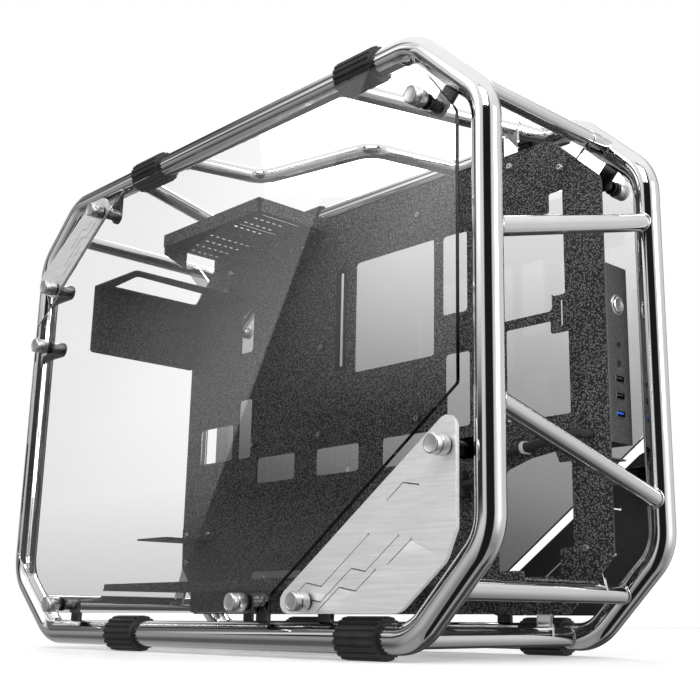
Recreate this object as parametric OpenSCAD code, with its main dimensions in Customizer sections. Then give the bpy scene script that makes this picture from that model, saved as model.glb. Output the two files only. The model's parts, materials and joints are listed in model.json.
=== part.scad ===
// Open-frame computer case: two bent tube loops joined by cross tubes, with a
// pressed steel tray between them and a glass panel outside each loop.
// Millimetres. X runs left to right, -Y is the front, Z is up, and the rubber
// sleeves stand on Z = 0 with the case centred on X = 0 and Y = 0.

/* [Tube frame] */
// Distance between the centre lines of the two loops
loop_gap = 237; // [225:1:250]
// Depth of a loop between its front and rear centre lines
loop_depth = 732; // [715:1:760]
// Height of a loop between its bottom and top centre lines
loop_height = 513; // [505:1:540]
// Outside diameter of the loop tube
tube_d = 25.4; // [22:0.2:28]
// Bend radius of the loop tube at its centre line
bend_r = 45; // [35:1:50]
// Run of the top front corner along Y
tf_run = 80; // [72:1:88]
// Rise of the top front corner along Z
tf_rise = 74.5; // [68:0.5:82]
// Run of the bottom front corner along Y
bf_run = 77; // [70:1:84]
// Rise of the bottom front corner along Z
bf_rise = 76.5; // [70:0.5:84]
// Run of the bottom rear corner along Y
br_run = 80; // [72:1:88]
// Rise of the bottom rear corner along Z
br_rise = 65; // [60:1:72]
// Run of the top rear corner along Y
tr_run = 68; // [62:1:76]
// Rise of the top rear corner along Z
tr_rise = 62; // [58:1:70]
// Diameter of the cross tubes
bar_d = 17; // [14:0.5:20]
// Drop of the upper front bar below the top tube, at the left loop
front_bar_left = 190; // [180:1:205]
// Drop of the upper front bar below the top tube, at the right loop
front_bar_right = 124; // [118:1:135]
// Rise of the front brace above the bottom tube, at the left loop
brace_left = 185; // [172:1:195]
// Rise of the front brace above the bottom tube, at the right loop
brace_right = 119; // [112:1:128]
// Gap from the front tube back to the bottom front bar
bottom_bar_gap = 100; // [95:1:112]
// Gap from the front tube back to the top cross bar, at the left loop
cross_left_gap = 191; // [184:1:198]
// Gap from the front tube back to the top cross bar, at the right loop
cross_right_gap = 117; // [110:1:124]
// Gap from the rear tube forward to the top rear bar, at the left loop
top_rear_left_gap = 196; // [190:1:204]
// Gap from the rear tube forward to the top rear bar, at the right loop
top_rear_right_gap = 106; // [100:1:112]
// Bend radius of the bent top tube at its centre line
bent_r = 30; // [24:1:36]

/* [Rubber sleeves] */
// Wall of a rubber sleeve, tube to tooth tip
sleeve_wall = 5; // [4:0.5:6]
// Length of a rubber sleeve along the rail
sleeve_len = 48; // [40:1:52]
// Gap from the rear tube forward to the middle of a bottom rear sleeve
sleeve_rear_gap = 239; // [225:1:250]
// Depth of the grooves between the teeth
sleeve_groove = 1.6; // [1:0.1:2.2]
// Number of teeth round a sleeve
sleeve_teeth = 18; // [14:2:22]

/* [Side panels] */
// Thickness of the side glass and its corner plates
glass_t = 4; // [3:0.5:5]
// Gap between the loop tube and the glass
glass_gap = 4.8; // [3:0.2:8]
// Slot between the glass and a corner plate
plate_gap = 4; // [3:0.5:6]
// Diameter of a thumb nut
nut_d = 16.5; // [14:0.5:18]
// Length of a thumb nut
nut_len = 15; // [12:0.5:18]
// Diameter of a panel stud
stud_d = 6; // [5:0.5:7]
// Clearance round a stud in the glass, plates and washers
stud_fit = 0.5; // [0.3:0.1:0.8]
// Diameter of the shoulder behind the inner washer
boss_d = 11; // [10:0.5:12]
// Diameter of a rubber washer
washer_d = 14; // [12.5:0.5:16]
// Thickness of a rubber washer
washer_t = 3; // [2:0.5:4]
// Thickness of the welded tabs that carry the studs
tab_t = 4; // [3:0.5:5]
// Width of the welded tabs that carry the studs
tab_w = 17; // [14:0.5:18]

/* [Tray] */
// Place of the tray's left face along X
tray_x = 70; // [60:1:76]
// Thickness of the tray and its folded brackets
sheet_t = 2; // [1.5:0.1:2.5]
// Gap from the front tube's centre line back to the tray
tray_front_gap = 19; // [18:0.5:24]
// Gap from the rear tube's centre line forward to the tray
tray_rear_gap = 48; // [44:1:54]
// Gap from the top tube's centre line down to the tray
tray_top_gap = 29.7; // [28:0.5:34]
// Gap from the bottom tube's centre line up to the tray
tray_base_gap = 20.3; // [19:0.5:24]
// Corner radius of the tray's cut-outs
cut_r = 4; // [2:0.5:5]
// Height of a board standoff
standoff_h = 6.5; // [5:0.5:8]
// Diameter of a board standoff
standoff_d = 6; // [5.5:0.5:7]
// Diameter of the standoff's screw hole
standoff_bore = 2.9; // [2.5:0.1:3.2]
// Diameter of the tray screw heads
screw_d = 8; // [7:0.5:9]
// Height of the tray screw heads
screw_h = 2.4; // [1.8:0.2:3]

/* [Folded brackets] */
// Width of the top bracket out from the tray
pan_w = 104; // [90:1:110]
// Front edge of the top bracket behind the case centre
pan_front = 48; // [40:1:56]
// Length of the top bracket along the tray
pan_len = 228; // [226:1:236]
// Thickness of the top bracket's slotted sheet
pan_t = 1.2; // [1:0.1:2]
// Depth of the top bracket's front and left flanges
pan_flange = 16; // [10:1:20]
// Length of the vent slots in the top bracket
vent_len = 6.2; // [5:0.2:6.6]
// Width of the vent slots in the top bracket
vent_w = 3; // [2:0.1:4]
// Width of the power supply's mounting face
psu_w = 150; // [148:1:154]
// Height of the power supply's mounting face
psu_h = 86; // [84:1:90]
// Diameter of the power supply's screw holes
psu_hole = 4; // [3.6:0.1:4.4]
// Width of the drive shelf out from the tray
shelf_w = 104; // [90:1:108]
// Height of the drive shelf's left lip
shelf_lip = 8; // [6:1:12]
// Length of the rear ledge along the tray
ledge_len = 66; // [50:1:80]
// Width of the rear ledge out from the tray
ledge_w = 70; // [56:1:84]
// Height of the rear ledge above the floor
ledge_z = 126; // [120:1:134]

/* [Front port box] */
// Width of the port box out from the tray
io_w = 34; // [32:0.5:36]
// Depth of the port box
io_depth = 32; // [28:1:34]
// Height of the port box
io_h = 170; // [166:1:172]
// Drop of the port box's foot below the top of the tray
io_drop = 311; // [307:1:313]
// Wall of the port box
io_wall = 1.6; // [1.2:0.1:2]
// Diameter of the power button
button_d = 15; // [13:0.5:17]
// Travel of the power button
button_travel = 1.5; // [1:0.1:2]
// Clearance round the power button
button_fit = 0.4; // [0.35:0.05:0.6]
// Diameter of the cable bundle
harness_d = 8; // [6:0.5:10]

/* [Hidden] */

// Levels and edges that the pieces share
sleeve_r = tube_d / 2 + sleeve_wall;
loop_x = loop_gap / 2;
front_y = -loop_depth / 2;
rear_y = loop_depth / 2;
base_z = sleeve_r;
top_z = base_z + loop_height;
glass_x = loop_x + tube_d / 2 + glass_gap;
boss_end = glass_x - washer_t;
nut_x = glass_x + glass_t + washer_t;
tray_far = tray_x + sheet_t;
tray_y0 = front_y + tray_front_gap;
tray_y1 = rear_y - tray_rear_gap;
tray_z0 = base_z + tray_base_gap;
tray_z1 = top_z - tray_top_gap;
tube_fn = 32;
bend_fn = 64;

// Vector helpers
function unit(v) = v / norm(v);
function cross_z(u, v) = u[0] * v[1] - u[1] * v[0];
function turn(u, v) = acos(max(-1, min(1, u * v)));
function lerp(a, b, s) = a + (b - a) * s;

// Points of a rounded corner at b, between a and c
function corner_pts(a, b, c, r, n) =
  let (u = unit(a - b), v = unit(c - b), half = turn(u, v) / 2)
  r <= 0 || half > 89.5 ? [b] :
  let (t = r / tan(half), mid = b + unit(u + v) * (r / sin(half)),
       w0 = b + u * t - mid, w1 = b + v * t - mid, sweep = 180 - 2 * half)
  [for (i = [0 : n])
    mid + (w0 * sin(sweep * (1 - i / n)) + w1 * sin(sweep * i / n)) / sin(sweep)];

// An outline with every corner rounded, by one radius or one each
function rounded(p, r, n = 4) =
  [for (i = [0 : len(p) - 1])
    each corner_pts(p[(i + len(p) - 1) % len(p)], p[i], p[(i + 1) % len(p)],
                    is_list(r) ? r[i] : r, n)];

function rect(a0, a1, b0, b1) = [[a0, b0], [a1, b0], [a1, b1], [a0, b1]];

// Sheets drawn in (Y, Z), (X, Z) and (X, Y) and thickened along the third axis
module yz(x, t) {
  translate([x, 0, 0]) rotate([90, 0, 90]) linear_extrude(t) children();
}

module xz(y, t) {
  translate([0, y + t, 0]) rotate([90, 0, 0]) linear_extrude(t) children();
}

module xy(z, t) {
  translate([0, 0, z]) linear_extrude(t) children();
}

// Straight tube between two points of a plane
module run(a, b, d) {
  translate([a[0], a[1], 0])
    rotate([0, 0, atan2(b[1] - a[1], b[0] - a[0])])
      rotate([0, 90, 0])
        cylinder(d = d, h = norm(b - a), $fn = tube_fn);
}

// Tube bend at corner b, arriving along u and leaving along v. It is drawn a
// shade thinner than the straights, which lap over its ends.
bend_step = 0.1;
bend_lap = 1;

module bend(b, u, v, r, d) {
  side = cross_z(u, v) > 0 ? 1 : -1;
  sweep = turn(u, v);
  normal = [-u[1], u[0]] * side;
  mid = b - u * r * tan(sweep / 2) + normal * r;
  start = atan2(-normal[1], -normal[0]);
  translate([mid[0], mid[1], 0])
    rotate([0, 0, side > 0 ? start : start - sweep])
      rotate_extrude(angle = sweep, $fn = bend_fn)
        translate([r, 0])
          circle(d = d - bend_step, $fn = tube_fn);
}

function trim(p, i, r) =
  let (n = len(p), a = p[(i + n - 1) % n], b = p[i], c = p[(i + 1) % n])
  r * tan(turn(unit(b - a), unit(c - b)) / 2);

// Closed tube round a polygon, bent at every corner
module tube_loop(p, r, d) {
  n = len(p);
  for (i = [0 : n - 1]) {
    a = p[(i + n - 1) % n];
    b = p[i];
    c = p[(i + 1) % n];
    u = unit(b - a);
    v = unit(c - b);
    run(b + v * (trim(p, i, r) - bend_lap), c - v * (trim(p, (i + 1) % n, r) - bend_lap), d);
    bend(b, u, v, r, d);
  }
}

// Corner points of a loop in (Y, Z), anticlockwise from the bottom front
loop_pts = [
  [front_y + bf_run, base_z], [rear_y - br_run, base_z],
  [rear_y, base_z + br_rise], [rear_y, top_z - tr_rise],
  [rear_y - tr_run, top_z], [front_y + tf_run, top_z],
  [front_y, top_z - tf_rise], [front_y, base_z + bf_rise]];

module loop_at(x) {
  translate([x, 0, 0]) rotate([90, 0, 90]) tube_loop(loop_pts, bend_r, tube_d);
}

module left_loop() {
  color("gainsboro") loop_at(-loop_x);
}

module right_loop() {
  color("gainsboro") loop_at(loop_x);
}

// Straight stretch of both loops, for coping what is welded to it
module loop_side(i) {
  j = (i + 1) % len(loop_pts);
  for (x = [-loop_x, loop_x])
    translate([x, 0, 0]) rotate([90, 0, 90]) run(loop_pts[i], loop_pts[j], tube_d);
}

// Cross tube from a left point to a right point, each [y, z], coped to side i
module cross_bar(left, right, i) {
  a = [-loop_x, left[0], left[1]];
  b = [loop_x, right[0], right[1]];
  v = b - a;
  difference() {
    translate(a)
      rotate([0, 90, atan2(v[1], v[0])])
        rotate([0, -asin(v[2] / norm(v)), 0])
          cylinder(d = bar_d, h = norm(v), $fn = tube_fn);
    loop_side(i);
  }
}

// Places of the cross tubes
mid_tf = (loop_pts[5] + loop_pts[6]) / 2;
mid_bf = (loop_pts[7] + loop_pts[0]) / 2;
mid_br = (loop_pts[1] + loop_pts[2]) / 2;
mid_tr = (loop_pts[3] + loop_pts[4]) / 2;
bottom_bar_y = front_y + bottom_bar_gap;
cross_left_y = front_y + cross_left_gap;
cross_right_y = front_y + cross_right_gap;
rear_left_y = rear_y - top_rear_left_gap;
rear_right_y = rear_y - top_rear_right_gap;

module top_front_bar() {
  color("silver") cross_bar(mid_tf, mid_tf, 5);
}

module upper_front_bar() {
  color("silver") cross_bar([front_y, top_z - front_bar_left],
                            [front_y, top_z - front_bar_right], 6);
}

module front_brace() {
  color("silver") cross_bar([front_y, base_z + brace_left],
                            [front_y, base_z + brace_right], 6);
}

module lower_front_bar() {
  color("silver") cross_bar(mid_bf, mid_bf, 7);
}

module bottom_front_bar() {
  color("silver") cross_bar([bottom_bar_y, base_z], [bottom_bar_y, base_z], 0);
}

module lower_rear_bar() {
  color("silver") cross_bar(mid_br, mid_br, 1);
}

module upper_rear_bar() {
  color("silver") cross_bar(mid_tr, mid_tr, 3);
}

module top_cross_bar() {
  color("silver") cross_bar([cross_left_y, top_z], [cross_right_y, top_z], 4);
}

module top_rear_bar() {
  color("silver") cross_bar([rear_left_y, top_z], [rear_right_y, top_z], 4);
}

// Plan of the bent top tube, from the left loop to the right loop
bent_pts = [[-loop_x, 83], [-22, 58], [8, -93], [loop_x, -123]];

module bent_top_tube() {
  u0 = unit(bent_pts[1] - bent_pts[0]);
  u1 = unit(bent_pts[2] - bent_pts[1]);
  u2 = unit(bent_pts[3] - bent_pts[2]);
  t1 = bent_r * tan(turn(u0, u1) / 2) - bend_lap;
  t2 = bent_r * tan(turn(u1, u2) / 2) - bend_lap;
  color("silver") difference() {
    translate([0, 0, top_z]) {
      run(bent_pts[0], bent_pts[1] - u0 * t1, bar_d);
      bend(bent_pts[1], u0, u1, bent_r, bar_d);
      run(bent_pts[1] + u1 * t1, bent_pts[2] - u1 * t2, bar_d);
      bend(bent_pts[2], u1, u2, bent_r, bar_d);
      run(bent_pts[2] + u2 * t2, bent_pts[3], bar_d);
    }
    loop_side(4);
  }
}

// Joint collars near the right ends of the two upper front tubes
collar_wall = 1;
collar_len = 14;

module collar_on(left, right, s) {
  a = [-loop_x, left[0], left[1]];
  b = [loop_x, right[0], right[1]];
  v = b - a;
  translate(lerp(a, b, s))
    rotate([0, 90, atan2(v[1], v[0])])
      difference() {
        cylinder(d = bar_d + 2 * collar_wall, h = collar_len, $fn = tube_fn);
        translate([0, 0, -1]) cylinder(d = bar_d, h = collar_len + 2, $fn = tube_fn);
      }
}

module bar_collars() {
  color("silver") {
    collar_on(mid_tf, mid_tf, 0.84);
    collar_on([cross_left_y, top_z], [cross_right_y, top_z], 0.84);
  }
}

// Ribbed rubber sleeves that the case stands on
sleeve_clear = 1;
sleeve_gap = bar_d / 2 + sleeve_len / 2 + sleeve_clear;
bottom_sleeves = [bottom_bar_y + sleeve_gap, rear_y - sleeve_rear_gap];

// A sleeve beside a slanting bar stands off further, by the slant over its radius
cross_slope = (cross_left_y - cross_right_y) / loop_gap;
cross_sleeve_gap = bar_d / 2 * norm([1, cross_slope]) + cross_slope * sleeve_r
  + sleeve_len / 2 + sleeve_clear;
top_rear_sleeve = rear_left_y - sleeve_gap;
left_top_sleeves = [cross_left_y - cross_sleeve_gap, top_rear_sleeve];
right_top_sleeves = [cross_right_y + cross_sleeve_gap, top_rear_sleeve];

function tooth_pts(n, r_tip, groove) =
  let (step = 360 / n, half = step * 0.29, side = step * 0.1, rt = r_tip / cos(half))
  [for (i = [0 : n - 1]) let (a = -90 + i * step)
    each [[rt, a - half], [rt, a + half], [rt - groove, a + half + side],
          [rt - groove, a + step - half - side]]];

module sleeve(x, y, z) {
  translate([x, y - sleeve_len / 2, z])
    rotate([-90, 0, 0])
      mirror([0, 1, 0])
        difference() {
          linear_extrude(sleeve_len)
            polygon([for (q = tooth_pts(sleeve_teeth, sleeve_r, sleeve_groove))
              [q[0] * cos(q[1]), q[0] * sin(q[1])]]);
          translate([0, 0, -1]) cylinder(d = tube_d, h = sleeve_len + 2, $fn = tube_fn);
        }
}

module rubber_sleeves() {
  color("black") {
    for (x = [-loop_x, loop_x], y = bottom_sleeves) sleeve(x, y, base_z);
    for (y = left_top_sleeves) sleeve(-loop_x, y, top_z);
    for (y = right_top_sleeves) sleeve(loop_x, y, top_z);
  }
}

// Space of the two straight top tubes
module bent_clear() {
  for (p = [[cross_left_y, cross_right_y], [rear_left_y, rear_right_y]])
    translate([0, 0, top_z]) run([-loop_x, p[0]], [loop_x, p[1]], bar_d);
}

// Side panel outlines in (Y, Z)
panel_y0 = front_y + 15;
panel_y1 = rear_y - 18;
panel_z0 = base_z + 20.5;
panel_z1 = top_z - 15.7;
cut_dir = unit([115, -85]);
cut_out = [-cut_dir[1], cut_dir[0]];
cut_at = [rear_y - 172.4, top_z - 34.9];
low_dir = unit([245, -174]);
low_in = [-low_dir[1], low_dir[0]];
low_at = [panel_y0 - 1, base_z + 194.3];

function at_z(p, d, z) = [p[0] + d[0] * (z - p[1]) / d[1], z];
function at_y(p, d, y) = [y, p[1] + d[1] * (y - p[0]) / d[0]];

glass_pts = rounded([
  at_z(low_at, low_dir, panel_z0), [panel_y1 - 82, panel_z0],
  [panel_y1, panel_z0 + 66], at_y(cut_at, cut_dir, panel_y1),
  at_z(cut_at, cut_dir, panel_z1), [panel_y0 + 78, panel_z1],
  [panel_y0 + 34, panel_z1 - 30], [panel_y0, panel_z1 - 74],
  at_y(low_at, low_dir, panel_y0)], [4, 10, 10, 4, 4, 30, 40, 14, 4]);

upper_at = cut_at + cut_out * plate_gap;
upper_plate_pts = rounded([
  at_z(upper_at, cut_dir, panel_z1 - 18), at_y(upper_at, cut_dir, panel_y1 - 33),
  [panel_y1 + 4, top_z - 102.7], [panel_y1 + 4, top_z - 86],
  [panel_y1 - 108, panel_z1], [panel_y1 - 138, panel_z1]], [8, 10, 12, 12, 10, 12]);

lower_at = low_at - low_in * plate_gap;
lower_plate_pts = rounded([
  at_z(lower_at, low_dir, panel_z0 - 1) + [-9, 0], at_y(lower_at, low_dir, panel_y0 + 1) - [0, 9],
  [panel_y0 + 1, base_z + 82.6], [panel_y0 + 12, base_z + 58.3],
  [panel_y0 + 61.7, panel_z0 - 1]], [10, 10, 8, 20, 20]);

// Stud axes as [[y, z], side of the loop that its tab is welded to]
glass_studs = [
  [[front_y + 51, top_z - 69.7], 5], [[rear_y - 48, top_z - 180.7], 2],
  [[rear_y - 127, base_z + 29.3], 0], [[front_y + 272, base_z + 29.3], 0]];
upper_studs = [[[rear_y - 155, top_z - 35.7], 4], [[rear_y - 57, top_z - 109.7], 2]];
lower_studs = [[[front_y + 186, base_z + 29.3], 0], [[front_y + 26, base_z + 145.3], 6]];
studs = concat(glass_studs, upper_studs, lower_studs);

module on_side(s) {
  if (s > 0) children();
  else mirror([1, 0, 0]) children();
}

module stud_holes(list, s) {
  on_side(s)
    for (p = list)
      translate([glass_x - 1, p[0][0], p[0][1]]) rotate([0, 90, 0])
        cylinder(d = stud_d + 2 * stud_fit, h = glass_t + 2, $fn = 24);
}

module panel_sheet(pts, list, s) {
  difference() {
    on_side(s) yz(glass_x, glass_t) polygon(pts);
    stud_holes(list, s);
  }
}

module left_glass() {
  color([0.3, 0.34, 0.4, 0.5]) panel_sheet(glass_pts, glass_studs, -1);
}

module right_glass() {
  color([0.3, 0.34, 0.4, 0.5]) panel_sheet(glass_pts, glass_studs, 1);
}

// Decorative slots of a plate, laid out along a diagonal from a point on it.
// Each is a row of [distance along, distance across], with a round end.
trace_w = 1.1;
trace_dot = 2.4;
lower_traces = [
  [[36, 17], [66, 17], [80, 31], [150, 31]],
  [[58, 27], [72, 41], [118, 41], [130, 53], [176, 53]],
  [[60, 45], [98, 45], [112, 59], [140, 59]],
  [[182, 22], [204, 22], [216, 34]],
  [[154, 64], [186, 64]]];
upper_traces = [
  [[30, 9], [52, 9], [60, 17], [104, 17]],
  [[34, 17], [46, 17], [54, 25], [84, 25]],
  [[70, 9], [112, 9]]];

module trace(p, at, along, across) {
  q = [for (a = p) at + along * a[0] + across * a[1]];
  for (i = [0 : len(q) - 2]) {
    v = unit(q[i + 1] - q[i]);
    w = [-v[1], v[0]] * trace_w / 2;
    polygon([q[i] - w, q[i + 1] - w, q[i + 1] + w, q[i] + w]);
    if (i > 0) translate(q[i]) circle(d = trace_w, $fn = 16);
  }
  for (e = [q[0], q[len(q) - 1]]) translate(e) circle(d = trace_dot, $fn = 16);
}

module slotted_sheet(pts, list, traces, at, along, across, s) {
  difference() {
    panel_sheet(pts, list, s);
    on_side(s) yz(glass_x - 1, glass_t + 2)
      for (p = traces) trace(p, at, along, across);
  }
}

module upper_plate(s) {
  slotted_sheet(upper_plate_pts, upper_studs, upper_traces,
                at_z(upper_at, cut_dir, panel_z1 - 18), cut_dir, cut_out, s);
}

module lower_plate(s) {
  slotted_sheet(lower_plate_pts, lower_studs, lower_traces,
                at_z(lower_at, low_dir, panel_z0), -low_dir, -low_in, s);
}

module left_upper_plate() {
  color("lightgray") upper_plate(-1);
}

module right_upper_plate() {
  color("lightgray") upper_plate(1);
}

module left_lower_plate() {
  color("lightgray") lower_plate(-1);
}

module right_lower_plate() {
  color("lightgray") lower_plate(1);
}

// Foot of a stud's tab on the centre line of its loop side
function foot(p, i) =
  let (a = loop_pts[i], v = unit(loop_pts[(i + 1) % len(loop_pts)] - a))
  a + v * ((p - a) * v);

// A welded tab with its shoulder and stud
module panel_mount(p, i) {
  f = foot(p, i);
  v = unit(f - p);
  w = [-v[1], v[0]] * tab_w / 2;
  difference() {
    yz(loop_x - tab_t / 2, tab_t)
      union() {
        polygon([p - w, f - w, f + w, p + w]);
        translate(p) circle(d = tab_w, $fn = 24);
      }
    loop_side(i);
  }
  translate([loop_x + tab_t / 2, p[0], p[1]]) rotate([0, 90, 0]) {
    cylinder(d = boss_d, h = boss_end - loop_x - tab_t / 2, $fn = 24);
    cylinder(d = stud_d, h = nut_x + nut_len * 0.6 - loop_x - tab_t / 2, $fn = 24);
  }
}

module left_panel_mounts() {
  color("silver") on_side(-1) for (p = studs) panel_mount(p[0], p[1]);
}

module right_panel_mounts() {
  color("silver") on_side(1) for (p = studs) panel_mount(p[0], p[1]);
}

// Thumb nut turned from bar, with a neck groove and a chamfered, dished face
nut_neck = nut_len * 0.62;

module thumb_nut(p) {
  r = nut_d / 2;
  translate([nut_x, p[0], p[1]]) rotate([0, 90, 0])
    difference() {
      rotate_extrude($fn = 32)
        polygon([[0, 0], [r - 0.5, 0], [r, 0.5], [r, nut_neck - 1], [r - 1.1, nut_neck - 1],
                 [r - 1.1, nut_neck], [r, nut_neck], [r, nut_len - 1], [r - 1, nut_len],
                 [r - 2, nut_len], [r - 2.4, nut_len - 0.4], [0, nut_len - 0.4]]);
      translate([0, 0, -1])
        cylinder(d = stud_d + 0.2, h = nut_len * 0.6 + 1, $fn = 24);
    }
}

module left_thumb_nuts() {
  color("gainsboro") on_side(-1) for (p = studs) thumb_nut(p[0]);
}

module right_thumb_nuts() {
  color("gainsboro") on_side(1) for (p = studs) thumb_nut(p[0]);
}

// Rubber washers inside and outside each panel
module panel_washers() {
  color("black")
    for (s = [-1, 1]) on_side(s)
      for (p = studs)
        for (x = [boss_end, glass_x + glass_t])
          translate([x, p[0][0], p[0][1]]) rotate([0, 90, 0])
            difference() {
              cylinder(d = washer_d, h = washer_t, $fn = 24);
              translate([0, 0, -1])
                cylinder(d = stud_d + 2 * stud_fit, h = washer_t + 2, $fn = 24);
            }
}

// Tray outline in (Y, Z)
tray_clear = 1;
bf_dir = unit(loop_pts[7] - loop_pts[0]);
bf_line = mid_bf + [bf_dir[1], -bf_dir[0]] * (bar_d / 2 + tray_clear);
tray_pts = rounded([
  at_z(bf_line, bf_dir, tray_z0), [tray_y1 - 24, tray_z0], [tray_y1 - 24, tray_z0 + 33],
  [tray_y1 - 2, tray_z0 + 57], [tray_y1, tray_z0 + 90], [tray_y1, tray_z1 - 60],
  [tray_y1 - 52, tray_z1], [tray_y0 + 59, tray_z1], [tray_y0, tray_z1 - 55],
  at_y(bf_line, bf_dir, tray_y0)], [12, 8, 8, 6, 4, 14, 14, 14, 14, 14]);

// Board hole columns along Y and rows along Z, from the board's datum hole
board_y = -108.5;
board_z = tray_z1 - 35.3;
board_cols = [0, 157.48, 281.94];
board_rows = [0, 124.46, 227.33];

// Plain cut-outs of the tray as [y0, y1, z0, z1]
tray_cuts = [
  [-129, -4, board_z - 161.7, board_z - 31.7],
  [186, 211, board_z - 105.7, board_z - 47.7],
  [-175, -141, board_z - 120.7, board_z - 32.7],
  [-178, -145, board_z - 241.7, board_z - 163.7],
  [220, 290, board_z - 240.7, board_z - 195.7],
  [183, 209, board_z - 240.7, board_z - 166.7],
  [97, 169, board_z - 273.7, board_z - 242.7],
  [-14, 59, board_z - 273.7, board_z - 242.7],
  [-125, -51, board_z - 273.7, board_z - 241.7],
  [82, 172, tray_z0 + 38, tray_z0 + 49]];

// Slits beside the drive area as [y, z0, z1]
tray_slits = [[135, board_z - 310.7, board_z - 289.7], [135, board_z - 345.7, board_z - 324.7]];
slit_w = 3;

// Cable slot that the grommet fills
grommet_y = [13, 26];
grommet_z = [board_z - 153.7, board_z - 35.7];
grommet_lip = 2;
grommet_wall = 2.2;

// Front cable openings, with the tabs that stand into them
slot_web = 24;
window_end = -176 - slot_web;
front_window = [
  [window_end, tray_z1 - 76], [tray_y0 + 64, tray_z1 - 76],
  [tray_y0 + 64, tray_z1 - 56], [tray_y0 + 46, tray_z1 - 56],
  [tray_y0 + 46, tray_z1 - 163], [tray_y0 + 62, tray_z1 - 163],
  [tray_y0 + 62, tray_z1 - 140], [window_end, tray_z1 - 110]];
mid_window = [
  [window_end - 26, tray_z1 - 187], [tray_y0 + 64, tray_z1 - 187],
  [tray_y0 + 64, tray_z1 - 200], [tray_y0 + 43, tray_z1 - 200],
  [tray_y0 + 43, tray_z1 - 280], [window_end - 26, tray_z1 - 280]];
low_z1 = tray_z1 - 325;
low_window = [
  [window_end - 13, tray_z0 + 34], [window_end - 13, low_z1 - 20],
  [window_end - 26, low_z1 - 2], [tray_y0 + 92, low_z1 + 7],
  [tray_y0 + 62, low_z1 + 11], [tray_y0 + 58, low_z1],
  [tray_y0 + 43.5, low_z1], [tray_y0 + 43.5, tray_z0 + 59],
  [tray_y0 + 59, tray_z0 + 59], [tray_y0 + 59, tray_z0 + 34]];
tab_slots = [
  [tray_y0 + 53, tray_z1 - 74, tray_z1 - 58], [tray_y0 + 51, tray_z1 - 194, tray_z1 - 168]];

// Spare screw holes of the tray for smaller boards, as [y, z]
spare_holes = [
  [108, board_z - 161.5], [87, board_z - 162], [174, board_z - 160], [168, board_z - 201],
  [160, board_z - 229], [42, board_z - 161.5], [37.5, board_z - 200], [58, board_z - 229],
  [-107, board_z - 200], [-126, board_z - 235], [210, board_z - 34], [44, board_z - 23],
  [-133, board_z - 37], [-60, board_z - 14], [118, board_z - 14], [118, board_z - 98],
  for (y = [40, 51, 73, 95, 117, 128, 139, 151]) [y, tray_z1 - 24.5]];
spare_hole = 3.2;

// Screws through the tray as [[y, z], point on the tube that the bracket reaches]
function on_bar(a, b, x) = lerp(a, b, (x + loop_x) / loop_gap);
cross_y = on_bar(cross_left_y, cross_right_y, tray_far + 1.5);
top_rear_y = on_bar(rear_left_y, rear_right_y, tray_far + 1.5);
bracket_pts = [
  [[mid_tf[0] + 27, mid_tf[1] - 25], mid_tf],
  [[cross_y, tray_z1 - 13], [cross_y, top_z]],
  [[top_rear_y - 4, tray_z1 - 27], [top_rear_y - 4, top_z]],
  [[tray_y1 - 30, tray_z1 - 45], mid_tr],
  [[tray_y1 - 12, tray_z0 + 64], mid_br],
  [[bottom_bar_y, tray_z0 + 14], [bottom_bar_y, base_z]],
  [[tray_y0 + 30, tray_z0 + 58], mid_bf]];
screw_hole = 4.4;

module motherboard_tray() {
  color("dimgray") difference() {
    yz(tray_x, sheet_t)
      difference() {
        polygon(tray_pts);
        for (c = tray_cuts)
          polygon(rounded(rect(c[0], c[1], c[2], c[3]), cut_r, 3));
        for (s = tray_slits)
          polygon(rect(s[0] - slit_w / 2, s[0] + slit_w / 2, s[1], s[2]));
        polygon(rect(grommet_y[0], grommet_y[1], grommet_z[0], grommet_z[1]));
        for (w = [front_window, mid_window, low_window])
          polygon(rounded(w, 2, 2));
        for (s = tab_slots)
          polygon(rect(s[0] - slit_w / 2, s[0] + slit_w / 2, s[1], s[2]));
      }
    for (b = bracket_pts)
      translate([tray_x - 1, b[0][0], b[0][1]]) rotate([0, 90, 0])
        cylinder(d = screw_hole, h = sheet_t + 2, $fn = 16);
    for (h = spare_holes)
      translate([tray_x - 1, h[0], h[1]]) rotate([0, 90, 0])
        cylinder(d = spare_hole, h = sheet_t + 2, $fn = 16);
    harness_hole();
  }
}

// Hole through the tray and the port box's side for the cable bundle
harness_fit = 1;

module harness_hole() {
  translate([tray_x - 1, io_y1 - 10, io_z + 9]) rotate([0, 90, 0])
    cylinder(d = harness_d + 2 * harness_fit, h = sheet_t + io_wall + 2, $fn = 24);
}

// Flat brackets welded to the cross tubes behind the tray
bracket_t = 3;
bracket_w = 18;

module tray_brackets() {
  color("silver")
    for (b = bracket_pts) {
      v = unit(b[1] - b[0]);
      w = [-v[1], v[0]] * bracket_w / 2;
      difference() {
        yz(tray_far, bracket_t)
          difference() {
            union() {
              polygon([b[0] - w, b[1] - w, b[1] + w, b[0] + w]);
              translate(b[0]) circle(d = bracket_w, $fn = 24);
            }
            translate(b[0]) circle(d = 3.4, $fn = 16);
          }
        tray_tubes();
      }
    }
}

// The cross tubes that carry the tray, for coping its brackets
module tray_tubes() {
  for (p = [mid_tf, mid_tr, mid_br, mid_bf, [bottom_bar_y, base_z]])
    translate([-loop_x, p[0], p[1]]) rotate([0, 90, 0])
      cylinder(d = bar_d, h = loop_gap, $fn = tube_fn);
  bent_clear();
}

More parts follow.
